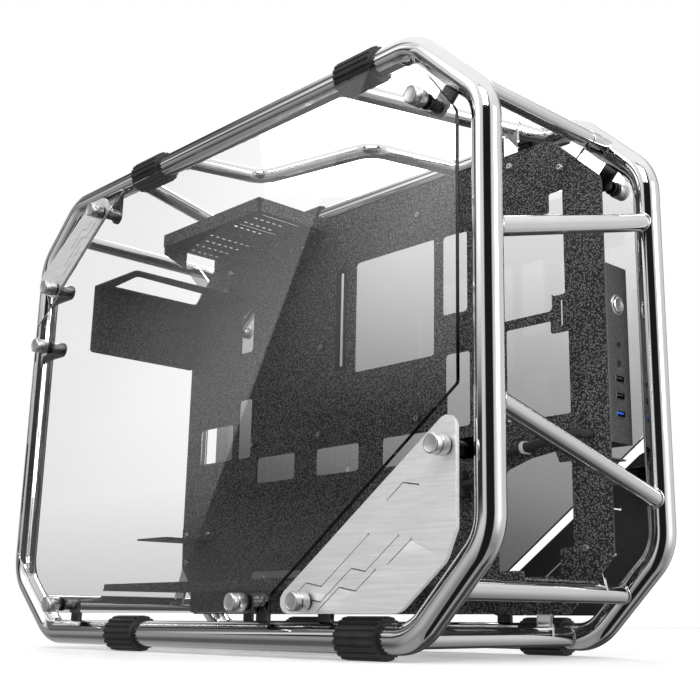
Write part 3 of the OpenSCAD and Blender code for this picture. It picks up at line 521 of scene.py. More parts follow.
@dataclass(frozen=True)
class PolishedTube:
    """Bright polished steel tube with faint clouds and drawing lines."""

    name: str
    colour: Colour = (0.9, 0.9, 0.905)
    roughness: Pair = (0.025, 0.07)
    cloud_scale: float = 14.0
    cloud_shade: float = 0.93
    shade_span: Pair = (0.35, 0.7)
    rough_span: Pair = (0.3, 0.75)
    line_scale: float = 900.0
    line_depth: float = 1.0e-6

    def build(self) -> bpy.types.Material:
        """Make the material.

        Returns:
            The new material.
        """
        sheet = NodeSheet(self.name)
        where = sheet.place()
        cloud = sheet.noise(where, self.cloud_scale)
        start, end = self.shade_span
        sheet.paint(cloud, (start, scaled(self.colour, self.cloud_shade)),
                    (end, self.colour))
        sheet.gloss(cloud, self.roughness, self.rough_span)
        sheet.set(Metallic=1.0)
        sheet.bump(sheet.noise(where, self.line_scale, detail=2.0), self.line_depth)
        return sheet.material


@dataclass(frozen=True)
class BrushedMetal:
    """Metal brushed along one axis, with uneven grain and smears."""

    name: str
    colour: Colour = (0.8, 0.8, 0.81)
    grain: Point = (1.0, 1.0, 1.0)
    roughness: Pair = (0.26, 0.4)
    metallic: float = 1.0
    streak_scale: float = 420.0
    smear_scale: float = 18.0
    swing: float = 0.1
    streak_share: float = 0.7
    span: Pair = (0.3, 0.7)
    depth: float = 3.0e-6

    def build(self) -> bpy.types.Material:
        """Make the material.

        Returns:
            The new material.
        """
        sheet = NodeSheet(self.name)
        streak = sheet.noise(sheet.place(self.grain), self.streak_scale, detail=4.0,
                             rough=0.65)
        smear = sheet.noise(sheet.place(), self.smear_scale)
        start, end = self.span
        sheet.paint(streak, (start, scaled(self.colour, 1.0 - self.swing)),
                    (end, scaled(self.colour, 1.0 + self.swing)))
        sheet.gloss(sheet.weigh(streak, smear, self.streak_share), self.roughness,
                    self.span)
        sheet.set(Metallic=self.metallic)
        sheet.bump(streak, self.depth)
        return sheet.material


@dataclass(frozen=True)
class TexturedCoat:
    """Black powder coat with a leathery, pebbled surface.

    Its pair of shares says how many times darker than its colour the pits are painted, as
    painted shade, and how many times lighter the tops of the pebbles are, as a painted
    highlight.
    """

    name: str
    colour: Colour = (0.036, 0.036, 0.038)
    pebble: float = 520.0
    depth: float = 0.0009
    contrast: Pair = (0.3, 6.5)
    roughness: Pair = (0.3, 0.6)
    warp: float = 0.0016
    warp_times: float = 0.8
    pebble_span: Pair = (0.15, 0.75)
    pebble_share: float = 0.85
    fine_times: float = 6.0
    levels: Point = (0.25, 0.5, 0.75)
    sheen: float = 0.62

    def pebbles(self, sheet: NodeSheet, where: bpy.types.NodeSocket) -> bpy.types.NodeSocket:
        """Shape the pebbles, with their outlines warped.

        Args:
            sheet: The material's nodes.
            where: Coordinates to read.

        Returns:
            The height factor.
        """
        warp = sheet.add("ShaderNodeTexNoise", Scale=self.pebble * self.warp_times,
                         Detail=2.0)
        sheet.join(where, warp.inputs["Vector"])
        blend = sheet.add("ShaderNodeMix")
        blend.data_type = "VECTOR"
        blend.inputs["Factor"].default_value = self.warp
        sheet.join(where, blend.inputs["A"])
        sheet.join(warp.outputs["Color"], blend.inputs["B"])
        cells = sheet.cells(blend.outputs["Result"], self.pebble)
        tops = sheet.spread(cells, 1.0, 0.0, *self.pebble_span)
        fine = sheet.noise(where, self.pebble * self.fine_times, detail=2.0)
        return sheet.weigh(tops, fine, self.pebble_share)

    def build(self) -> bpy.types.Material:
        """Make the material.

        Returns:
            The new material.
        """
        sheet = NodeSheet(self.name)
        height = self.pebbles(sheet, sheet.place())
        # The pits are painted darker as painted shade, and the pebble tops lighter as a
        # painted highlight.
        low, high = (scaled(self.colour, share) for share in self.contrast)
        sheet.paint(height, *zip(self.levels, (low, self.colour, high)))
        sheet.gloss(height, self.roughness[::-1])
        sheet.set(Specular_IOR_Level=self.sheen)
        sheet.bump(height, self.depth)
        return sheet.material


@dataclass(frozen=True)
class SmokedGlass:
    """Sheet glass with a smoke tint that deepens towards the floor; the deepening is painted
    shade.

    Each stop of the tint is a height in metres and the share of light let through.
    Behind lean_y, in metres along Y, the tint climbs by lean for each metre, more painted
    shade towards the back.
    """

    name: str
    stops: tuple[Pair, ...] = (
        (0.04, 0.62), (0.09, 0.76), (0.16, 0.96), (0.24, 1.0), (0.5, 1.0))
    lean: float = 0.0
    lean_y: float = -0.2
    refraction: float = 1.5

    def build(self) -> bpy.types.Material:
        """Make the material.

        Returns:
            The new material.
        """
        sheet = NodeSheet(self.name)
        split = sheet.add("ShaderNodeSeparateXYZ")
        sheet.join(sheet.place(), split.inputs["Vector"])
        back = sheet.maths("SUBTRACT", split.outputs["Y"], self.lean_y)
        level = sheet.maths("SUBTRACT", split.outputs["Z"],
                            sheet.maths("MULTIPLY", back, self.lean))
        sheet.paint(level, *[(z, (share, share, share)) for z, share in self.stops])
        sheet.set(Roughness=0.0, IOR=self.refraction, Transmission_Weight=1.0)
        return sheet.material


@dataclass(frozen=True)
class Moulding:
    """Moulded plastic with a fine spark-eroded grain."""

    name: str
    colour: Colour = (0.02, 0.02, 0.022)
    roughness: Pair = (0.35, 0.5)
    shades: Pair = (1.0, 1.35)
    cloud_scale: float = 90.0
    cloud_detail: float = 3.0
    shade_span: Pair = (0.3, 0.8)
    rough_span: Pair = (0.3, 0.7)
    grain_scale: float = 3000.0
    grain_depth: float = 1.5e-5

    def build(self) -> bpy.types.Material:
        """Make the material.

        Returns:
            The new material.
        """
        sheet = NodeSheet(self.name)
        where = sheet.place()
        cloud = sheet.noise(where, self.cloud_scale, self.cloud_detail)
        tones = [scaled(self.colour, shade) for shade in self.shades]
        sheet.paint(cloud, *zip(self.shade_span, tones))
        sheet.gloss(cloud, self.roughness, self.rough_span)
        sheet.bump(sheet.noise(where, self.grain_scale, detail=2.0), self.grain_depth)
        return sheet.material


@dataclass(frozen=True)
class Rubber(Moulding):
    """Moulded black rubber with a dusty, lightly pitted skin."""

    colour: Colour = (0.014, 0.014, 0.015)
    roughness: Pair = (0.42, 0.62)
    shades: Pair = (0.7, 1.8)
    cloud_scale: float = 60.0
    cloud_detail: float = 4.0
    grain_scale: float = 2200.0
    grain_depth: float = 4.0e-5


@dataclass(frozen=True)
class SpunMetal:
    """Bright turned metal with rings round an axis along Y, through a centre in metres."""

    name: str
    colour: Colour = (0.72, 0.725, 0.74)
    centre: Point = (0.0, 0.0, 0.0)
    pitch: float = 0.0004
    roughness: Pair = (0.16, 0.3)
    groove: float = 1.2e-5
    cloud_scale: float = 200.0
    cloud_shade: float = 0.85
    shade_span: Pair = (0.3, 0.7)

    def build(self) -> bpy.types.Material:
        """Make the material.

        Returns:
            The new material.
        """
        sheet = NodeSheet(self.name)
        where = sheet.place(shift=tuple(-part for part in self.centre))
        flat = sheet.vector_maths("MULTIPLY", where, (1.0, 0.0, 1.0)).outputs["Vector"]
        reach = sheet.vector_maths("LENGTH", flat).outputs["Value"]
        turns = sheet.maths("MULTIPLY", reach, math.tau / self.pitch)
        rings = sheet.spread(sheet.maths("SINE", turns, 0.0), 0.0, 1.0, -1.0, 1.0)
        cloud = sheet.noise(sheet.place(), self.cloud_scale)
        start, end = self.shade_span
        sheet.paint(cloud, (start, scaled(self.colour, self.cloud_shade)),
                    (end, self.colour))
        sheet.gloss(rings, self.roughness)
        sheet.set(Metallic=1.0)
        sheet.bump(rings, self.groove)
        return sheet.material


@dataclass(frozen=True)
class Braid:
    """Woven sleeve of fine black strands."""

    name: str
    colour: Colour = (0.02, 0.02, 0.022)
    strand_scale: float = 380.0
    wander: float = 0.6
    highlight: float = 3.2
    shade_span: Pair = (0.1, 0.9)
    roughness: Pair = (0.8, 0.55)
    depth: float = 0.0002

    def strands(self, sheet: NodeSheet, lay: Point) -> bpy.types.NodeSocket:
        """Lay the strands that run one way round the sleeve.

        Args:
            sheet: The material's nodes.
            lay: Signs of X, Y and Z, which turn the strands' direction.

        Returns:
            The height factor.
        """
        wave = sheet.add("ShaderNodeTexWave", Scale=self.strand_scale,
                         Distortion=self.wander)
        wave.wave_type = "BANDS"
        wave.bands_direction = "DIAGONAL"
        sheet.join(sheet.place(lay), wave.inputs["Vector"])
        return wave.outputs["Fac"]

    def build(self) -> bpy.types.Material:
        """Make the material.

        Returns:
            The new material.
        """
        sheet = NodeSheet(self.name)
        weave = sheet.maths("MULTIPLY", self.strands(sheet, (1.0, 1.0, 1.0)),
                            self.strands(sheet, (1.0, -1.0, 1.0)))
        start, end = self.shade_span
        sheet.paint(weave, (start, self.colour),
                    (end, scaled(self.colour, self.highlight)))
        sheet.gloss(weave, self.roughness)
        sheet.bump(weave, self.depth)
        return sheet.material


class FinishBook:
    """Makes each finish once and lays it on the CAD nodes of its slot."""

    FINISHES: tuple[Finish, ...] = (
        PolishedTube("tube_chrome"),
        PolishedTube("turned_metal", colour=(0.84, 0.84, 0.85), roughness=(0.28, 0.4)),
        PolishedTube("tab_steel", colour=(0.06, 0.06, 0.061), roughness=(0.12, 0.25)),
        PolishedTube("weld_bead", colour=(0.72, 0.72, 0.73), roughness=(0.12, 0.28)),
        PolishedTube("screw_steel", colour=(0.6, 0.6, 0.61), roughness=(0.2, 0.34)),
        PolishedTube("standoff_steel", colour=(0.5, 0.5, 0.51), roughness=(0.2, 0.32)),
        BrushedMetal("brushed_plate", colour=(0.93, 0.93, 0.935), grain=(1.0, 0.05, 1.0),
                     roughness=(0.42, 0.5), metallic=0.7),
        # Its colour is darkened as painted shade, for the port shells sit in the box's dark
        # openings.
        BrushedMetal("port_metal", colour=(0.2, 0.2, 0.205)),
        SpunMetal("button_metal", centre=(0.089, 0.0, 0.321)),
        TexturedCoat("black_steel"),
        TexturedCoat("port_box", pebble=900.0, depth=0.00012, contrast=(0.6, 1.6)),
        # A fine black coat laid where shade falls, as painted shade: on the corner plates'
        # inner faces and on the tray's front edge.
        TexturedCoat("plate_back", pebble=1500.0, depth=0.0001, contrast=(0.4, 1.2)),
        SmokedGlass("smoked_glass"),
        # The right pane's darker copy of the same glass: its deeper tint, towards the floor
        # and the back, is painted shade.
        SmokedGlass("deep_smoked_glass", lean=0.28, stops=(
            (0.05, 0.1), (0.11, 0.16), (0.17, 0.28), (0.28, 0.41), (0.36, 0.6),
            (0.41, 0.72), (0.5, 0.86))),
        Rubber("black_rubber"),
        Moulding("black_plastic"),
        Moulding("blue_plastic", colour=(0.02, 0.1, 0.5), roughness=(0.25, 0.4)),
        # A lighter grey laid on the port box's front-left edge faces, a painted highlight of
        # its rounded edge.
        Moulding("box_edge", colour=(0.3, 0.3, 0.305), roughness=(0.3, 0.4)),
        Moulding("tie_nylon", colour=(0.55, 0.55, 0.54), roughness=(0.3, 0.45)),
        Braid("cable_sleeve"),
    )

    def __init__(self) -> None:
        """Start with no finish made."""
        self.recipes = {finish.name: finish for finish in self.FINISHES}
        self.made: dict[str, bpy.types.Material] = {}

    def get(self, finish: str) -> bpy.types.Material:
        """Give a finish's material, making it on first use.

        Args:
            finish: Name of a finish, most often a material slot of the record.

        Returns:
            The material.
        """
        if finish not in self.made:
            self.made[finish] = self.recipes[finish].build()
        return self.made[finish]

    def dress(self, nodes: dict[str, bpy.types.Object], record: dict) -> None:
        """Lay every CAD node's finish on its object.

        Args:
            nodes: CAD objects by node name.
            record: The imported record.
        """
        for part in record["subparts"]:
            piece = nodes.get(part["node"])
            if piece is None:
                continue
            material = self.get(part["material_slot"])
            if not piece.data.materials:
                piece.data.materials.append(material)
            for slot in piece.material_slots:
                slot.material = material


@dataclass(frozen=True)
class PhotoCamera:
    """Camera fitted to the photograph, in millimetres, pixels and radians."""

    image_size: float = 700.0
    focal_px: float = 1115.144
    centre_px: Pair = (419.273, 340.885)
    yaw: float = 0.797
    pitch: float = 0.244
    roll: float = 0.005
    place_mm: Point = (-764.4, -920.7, 33.76)
    sensor_mm: float = 36.0
    clip_m: Pair = (0.02, 60.0)

    def axes(self) -> tuple[Vector, Vector, Vector]:
        """Work out how the camera is turned.

        Returns:
            Its right, up and forward directions.
        """
        forward = Vector((math.sin(self.yaw) * math.cos(self.pitch),
                          math.cos(self.yaw) * math.cos(self.pitch), math.sin(self.pitch)))
        right = Vector((math.cos(self.yaw), -math.sin(self.yaw), 0.0))
        up = right.cross(forward)
        turn, lean = math.cos(self.roll), math.sin(self.roll)
        return turn * right + lean * up, turn * up - lean * right, forward

    def build(self) -> bpy.types.Object:
        """Make the scene's camera.

        Returns:
            The camera.
        """
        data = bpy.data.cameras.new("photo_camera")
        data.sensor_width = self.sensor_mm
        data.lens = self.focal_px / self.image_size * self.sensor_mm
        data.shift_x = (self.image_size / 2 - self.centre_px[0]) / self.image_size
        data.shift_y = (self.centre_px[1] - self.image_size / 2) / self.image_size
        data.clip_start, data.clip_end = self.clip_m
        camera = stand("photo_camera", data)
        right, up, forward = self.axes()
        turn = Matrix((right, up, -forward)).transposed().to_4x4()
        camera.matrix_world = Matrix.Translation(Vector(self.place_mm) * MM) @ turn
        bpy.context.scene.camera = camera
        return camera


@dataclass(frozen=True)
class SoftLight:
    """One soft rectangular light, aimed at a point, in metres and watts."""

    name: str
    place: Point
    aim: Point
    size: Pair
    power: float

    def build(self) -> bpy.types.Object:
        """Make the light.

        Returns:
            The lamp.
        """
        data = bpy.data.lights.new(self.name, "AREA")
        data.shape = "RECTANGLE"
        data.size, data.size_y = self.size
        data.energy = self.power
        lamp = stand(self.name, data)
        lamp.location = self.place
        way = Vector(self.aim) - Vector(self.place)
        lamp.rotation_euler = way.to_track_quat("-Z", "Y").to_euler()
        return lamp


@dataclass(frozen=True)
class Flag:
    """A patch of the studio walls that shows only in reflections, in degrees."""

    azimuths: Pair
    heights: Pair
    shade: float = 0.0
    soft: float = 4.0


@dataclass(frozen=True)
class Studio:
    """Pale floor, white walls with flags for the polished metal, and soft lights.

    Lengths are in metres. The card is a flag that the left glass reflects: a slanted
    edge splits it, and each half fades away from that edge and up from its foot.
    """

    floor_inner: float = 1.5
    floor_radius: float = 5.0
    floor_sides: int = 96
    floor_shade: float = 0.93
    floor_mottle: float = 0.99
    floor_cloud: float = 3.0
    floor_roughness: float = 0.34
    floor_glow: float = 0.3
    walls: Fade = Fade((0.64, 1.0), (10.0, 60.0))
    ground: Fade = Fade((0.35, 1.0), (-40.0, -4.0))
    diffuse_white: float = 0.55
    card: Flag = Flag((100.0, 168.0), (2.0, 48.0))
    card_edge: Point = (-0.7972, -0.5259, -0.2964)
    card_split: Fade = Fade((0.0, 1.0), (-0.001, 0.001))
    card_left: tuple[Fade, Fade] = (
        Fade((0.14, 1.0), (-0.13, 0.0)), Fade((0.15, 1.0), (2.0, 13.0)))
    card_right: tuple[Fade, Fade] = (
        Fade((0.25, 1.0), (0.0, 0.09)), Fade((0.03, 1.6), (10.0, 23.0)))
    flags: tuple[Flag, ...] = (
        Flag((-181.0, 181.0), (-90.0, -36.0), 0.3, 16.0),
        Flag((-60.0, 60.0), (-90.0, -42.0), 0.05, 12.0),
        Flag((70.0, 158.0), (-50.0, 24.0), 0.3, 22.0),
        Flag((96.0, 142.0), (-48.0, -6.0), 0.1, 14.0),
        Flag((-26.0, 14.0), (14.0, 52.0), 0.42, 16.0),
        Flag((-4.0, 66.0), (-60.0, 46.0), 0.05, 16.0),
        Flag((48.0, 108.0), (26.0, 50.0), 0.03, 9.0),
        Flag((-100.0, -46.0), (-26.0, 34.0), 1.3, 24.0),
        Flag((-172.0, -106.0), (-90.0, 62.0), 0.012, 8.0),
    )
    lights: tuple[SoftLight, ...] = (
        SoftLight("key_light", (-1.7, -1.5, 2.4), (0.0, 0.0, 0.25), (1.6, 1.2), 34.0),
        SoftLight("rim_light", (1.9, 1.6, 2.2), (0.0, 0.0, 0.3), (1.4, 1.4), 26.0),
        SoftLight("front_light", (0.5, -2.4, 1.1), (0.05, 0.0, 0.3), (0.8, 1.2), 18.0),
    )

    def shade_card(self, table: NodeTable, way: bpy.types.NodeSocket,
                   height: bpy.types.NodeSocket) -> bpy.types.NodeSocket:
        """Shade both halves of the card.

        Args:
            table: The world's node table.
            way: Direction that is looked up.
            height: The direction's angle above the horizon.

        Returns:
            The card's shade.
        """
        across = table.vector_maths("DOT_PRODUCT", way, self.card_edge).outputs["Value"]
        left, right = (
            table.maths("MULTIPLY", table.fade(across, aside), table.fade(height, upward))
            for aside, upward in (self.card_left, self.card_right))
        return table.mix(table.fade(across, self.card_split), left, right)

    def whiteness(self, table: NodeTable) -> bpy.types.NodeSocket:
        """Find how white each kind of ray sees the walls, without their flags.

        Args:
            table: The world's node table.

        Returns:
            1 for what is seen directly or straight through glass, less for diffuse
            light and 0 for reflections.
        """
        rays = table.add("ShaderNodeLightPath")
        bounces = table.maths("ADD", rays.outputs["Glossy Depth"],
                              rays.outputs["Diffuse Depth"])
        through = table.maths("MULTIPLY", rays.outputs["Is Transmission Ray"],
                              table.spread(bounces, 1.0, 0.0))
        soft = table.maths("MULTIPLY", rays.outputs["Is Diffuse Ray"], self.diffuse_white)
        return table.maths("MAXIMUM", rays.outputs["Is Camera Ray"],
                           table.maths("MAXIMUM", through, soft))

    def build_world(self) -> None:
        """Surround the case with white walls, and flags seen in reflections alone."""
        world = bpy.data.worlds.new("white_studio")
        bpy.context.scene.world = world
        world.use_nodes = True
        table = NodeTable(world.node_tree)
        way = table.add("ShaderNodeTexCoord").outputs["Generated"]
        split = table.add("ShaderNodeSeparateXYZ")
        table.join(way, split.inputs["Vector"])
        turn = table.maths("ARCTAN2", split.outputs["Y"], split.outputs["X"])
        rise = table.maths("ARCSINE", split.outputs["Z"], 0.0)
        azimuth, height = (table.maths("MULTIPLY", angle, math.degrees(1.0))
                           for angle in (turn, rise))
        shade = table.maths("MULTIPLY", table.fade(height, self.walls),
                            table.fade(height, self.ground))
        patches = [(flag, flag.shade) for flag in self.flags]
        patches.append((self.card, self.shade_card(table, way, height)))
        for flag, tone in patches:
            mask = table.maths("MULTIPLY", table.band(azimuth, flag.azimuths, flag.soft),
                               table.band(height, flag.heights, flag.soft))
            shade = table.mix(mask, shade, tone)
        back = table.add("ShaderNodeBackground")
        table.join(table.mix(self.whiteness(table), shade, 1.0), back.inputs["Color"])
        out = table.add("ShaderNodeOutputWorld")
        table.join(back.outputs["Background"], out.inputs["Surface"])

    def floor_finish(self) -> bpy.types.Material:
        """Make the floor's material, which reflections don't see.

        Returns:
            The new material, clear at the floor's rim.
        """
        sheet = NodeSheet("studio_floor")
        where = sheet.place()
        reach = sheet.vector_maths("LENGTH", where).outputs["Value"]
        near = sheet.spread(reach, 1.0, 0.0, self.floor_inner, self.floor_radius)
        shade = self.floor_shade
        sheet.paint(sheet.noise(where, self.floor_cloud, detail=2.0),
                    (0.3, (shade * self.floor_mottle,) * 3), (0.7, (shade,) * 3))
        sheet.set(Roughness=self.floor_roughness, Emission_Strength=self.floor_glow,
                  Emission_Color=(1.0, 1.0, 1.0, 1.0))
        rays = sheet.add("ShaderNodeLightPath")
        seen = sheet.spread(rays.outputs["Is Glossy Ray"], 1.0, 0.0)
        sheet.join(sheet.maths("MULTIPLY", near, seen), sheet.shader.inputs["Alpha"])
        return sheet.material

    def build_floor(self) -> bpy.types.Object:
        """Make the pale floor, which fades into the walls far away.

        Returns:
            The floor.
        """
        builder = bmesh.new()
        bmesh.ops.create_circle(builder, cap_ends=True, segments=self.floor_sides,
                                radius=self.floor_radius)
        floor = stand("studio_floor", close_mesh("studio_floor", builder))
        floor.data.materials.append(self.floor_finish())
        return floor

    def build(self) -> None:
        """Make the whole studio, with colours shown as they are."""
        bpy.context.scene.view_settings.view_transform = "Standard"
        self.build_world()
        self.build_floor()
        for light in self.lights:
            light.build()


def rounded_corner(before: Vector, corner: Vector, after: Vector, radius: float,
                   steps: int) -> list[Vector]:
    """Give the arc that rounds a corner between two straight runs.

    Args:
        before: A point on the run that arrives.
        corner: The sharp corner.
        after: A point on the run that leaves.
        radius: Radius of the arc.
        steps: Number of chords in the arc.

    Returns:
        The arc's points, ends included.
    """
    arrive = (before - corner).normalized()
    leave = (after - corner).normalized()
    half = arrive.angle(leave) / 2
    reach = radius / math.tan(half)
    middle = corner + (arrive + leave).normalized() * (radius / math.sin(half))
    first = corner + arrive * reach - middle
    last = corner + leave * reach - middle
    sweep = math.pi - 2 * half
    return [middle + (first * math.sin(sweep * (1 - step / steps))
                      + last * math.sin(sweep * step / steps)) / math.sin(sweep)
            for step in range(steps + 1)]


def smooth_point(before: Vector, start: Vector, end: Vector, after: Vector,
                 share: float) -> Vector:
    """Give a point on a smooth curve that runs through four points.

    Args:
        before: The point in front of the stretch.
        start: Start of the stretch.
        end: End of the stretch.
        after: The point behind the stretch.
        share: Place in the stretch, from 0 to 1.

    Returns:
        The curve's point.
    """
    slope = (end - before) * share
    bend = (2 * before - 5 * start + 4 * end - after) * share * share
    twist = (3 * start - before - 3 * end + after) * share * share * share
    return 0.5 * (2 * start + slope + bend + twist)


def ring_spots(middle: Vector, side: Vector, lift: Vector, radius: float,
               sides: int) -> list[Vector]:
    """Give evenly spaced points on a circle.

    Args:
        middle: Middle of the circle.
        side: Unit direction from there to the first point.
        lift: Unit direction in the circle's plane, square to the side.
        radius: Radius of the circle.
        sides: Number of points.

    Returns:
        The points.
    """
    angles = [math.tau * step / sides for step in range(sides)]
    return [middle + (side * math.cos(angle) + lift * math.sin(angle)) * radius
            for angle in angles]


def bridge(builder: bmesh.types.BMesh, one: Sequence[bmesh.types.BMVert],
           two: Sequence[bmesh.types.BMVert]) -> None:
    """Join two rings of vertices, or a ring and a single vertex, by faces.

    Args:
        builder: Mesh that takes the faces.
        one: The first ring or vertex.
        two: The second ring or vertex.
    """
    sides = max(len(one), len(two))
    for step in range(sides):
        after = (step + 1) % sides
        if len(one) == 1:
            builder.faces.new((one[0], two[after], two[step]))
        elif len(two) == 1:
            builder.faces.new((one[step], one[after], two[0]))
        else:
            builder.faces.new((one[step], one[after], two[after], two[step]))


def sweep_tube(builder: bmesh.types.BMesh, path: Sequence[Vector],
               radii: "float | Sequence[float]", sides: int, closed: bool = False) -> None:
    """Sweep a round section along a path.

    Args:
        builder: Mesh that takes the tube.
        path: Points along the tube.
        radii: Radius, or one radius for each point.
        sides: Number of sides round the tube.
        closed: Whether the last point joins the first.
    """
    count = len(path)
    sizes = [radii] * count if isinstance(radii, (int, float)) else list(radii)
    rings = []
    side = None
    for index, point in enumerate(path):
        before = path[index - 1] if closed or index else point
        after = path[(index + 1) % count] if closed or index < count - 1 else point
        along = (after - before).normalized()
        if side is None:
            side = along.orthogonal()
        side = (side - along * side.dot(along)).normalized()
        spots = ring_spots(point, side, along.cross(side), sizes[index], sides)
        rings.append([builder.verts.new(spot) for spot in spots])
    for one, two in zip(rings, rings[1:]):
        bridge(builder, one, two)
    if closed:
        bridge(builder, rings[-1], rings[0])
    else:
        builder.faces.new(rings[0])
        builder.faces.new(rings[-1])


def turn_profile(builder: bmesh.types.BMesh, profile: Sequence[Pair], origin: Vector,
                 axis: Vector, sides: int) -> None:
    """Turn an outline round an axis, as a lathe does.

    Args:
        builder: Mesh that takes the shape.
        profile: Outline as pairs of distance along the axis and radius.
        origin: Point on the axis where the distance is 0.
        axis: Unit direction of the axis.
        sides: Number of sides.
    """
    side = axis.orthogonal().normalized()
    lift = axis.cross(side)
    rings = []
    for along, radius in profile:
        middle = origin + axis * along
        spots = ring_spots(middle, side, lift, radius, sides) if radius > 0 else [middle]
        rings.append([builder.verts.new(spot) for spot in spots])
    for one, two in zip(rings, rings[1:]):
        bridge(builder, one, two)


@dataclass(frozen=True)
class EdgeBreaker:
    """Copies a CAD node with its sharp edges broken, as a file or tumbler leaves them.

    Edges over the least angle are broken. Vertices within the merge gap are joined
    first, and faces that meet below the flat angle become one.
    """

    width: float
    segments: int = 2
    least_angle: float = 32.0
    flat_angle: float = 0.6
    merge_gap: float = 0.001

    def copy(self, node: bpy.types.Object) -> bmesh.types.BMesh:
        """Copy a node's mesh and round its sharp edges.

        Args:
            node: The CAD object.

        Returns:
            The new mesh, in the frame's own axes.
        """
        builder = bmesh.new()
        builder.from_mesh(node.data)
        builder.transform(node.matrix_world)
        bmesh.ops.remove_doubles(builder, verts=builder.verts, dist=self.merge_gap * MM)
        bmesh.ops.dissolve_limit(builder, angle_limit=math.radians(self.flat_angle),
                                 verts=builder.verts, edges=builder.edges)
        limit = math.radians(self.least_angle)
        sharp = [edge for edge in builder.edges
                 if len(edge.link_faces) == 2 and edge.calc_face_angle(0.0) > limit]
        bmesh.ops.bevel(builder, geom=sharp, offset=self.width * MM, segments=self.segments,
                        profile=0.5, affect="EDGES", clamp_overlap=True)
        return builder


class Workshop:
    """Carries the frame and the finishes to each sub-assembly."""

    def __init__(self, frame: dict) -> None:
        """Keep the frame and lay the finishes on its nodes.
        """
        self.nodes: dict[str, bpy.types.Object] = frame["nodes"]
        self.slots = {part["node"]: part["material_slot"]
                      for part in frame["record"]["subparts"]}
        self.finishes = FinishBook()
        self.finishes.dress(frame["nodes"], frame["record"])

    def piece(self, name: str, builder: bmesh.types.BMesh, node: str, *,
              replaces: bool = True, finish: str = "",
              sharp_over: float = 35.0) -> bpy.types.Object:
        """Turn a built mesh into a piece, finished as its CAD node is.

        Args:
            name: Name of the piece.
            builder: The mesh, which is freed.
            node: CAD node that it stands for or belongs to.
            replaces: Whether it stands for that node.
            finish: Name of another finish than the node's own.
            sharp_over: Edges over this angle stay sharp, in degrees.

        Returns:
            The new object.
        """
        bmesh.ops.recalc_face_normals(builder, faces=builder.faces)
        mesh = close_mesh(name, builder)
        mesh.polygons.foreach_set("use_smooth", [True] * len(mesh.polygons))
        mesh.set_sharp_from_angle(angle=math.radians(sharp_over))
        slot = self.slots[node]
        mesh.materials.append(self.finishes.get(finish or slot))
        piece = stand(name, mesh)
        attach(piece, CASE)
        if replaces:
            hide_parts(node)
        LOG.info("built %s", name)
        return piece

    def break_edges(self, name: str, node: str, width: float, *, segments: int = 2,
                    finish: str = "", sharp_over: float = 25.0) -> bpy.types.Object:
        """Stand a copy with broken edges in for a CAD node.

        Args:
            name: Name of the new piece.
            node: The CAD node.
            width: Width of the broken edge.
            segments: Number of facets across it.
            finish: Name of another finish than the node's own.
            sharp_over: Edges over this angle stay sharp, in degrees.

        Returns:
            The new object.
        """
        builder = EdgeBreaker(width, segments).copy(self.nodes[node])
        return self.piece(name, builder, node, finish=finish, sharp_over=sharp_over)

    def paint(self, piece: bpy.types.Object, finish: str,
              chosen: Callable[[bpy.types.MeshPolygon], bool]) -> None:
        """Give some faces of a piece a finish of their own.

        Args:
            piece: The piece.
            finish: Name of the finish.
            chosen: Tells whether a face takes it.
        """
        piece.data.materials.append(self.finishes.get(finish))
        for face in piece.data.polygons:
            if chosen(face):
                face.material_index = 1


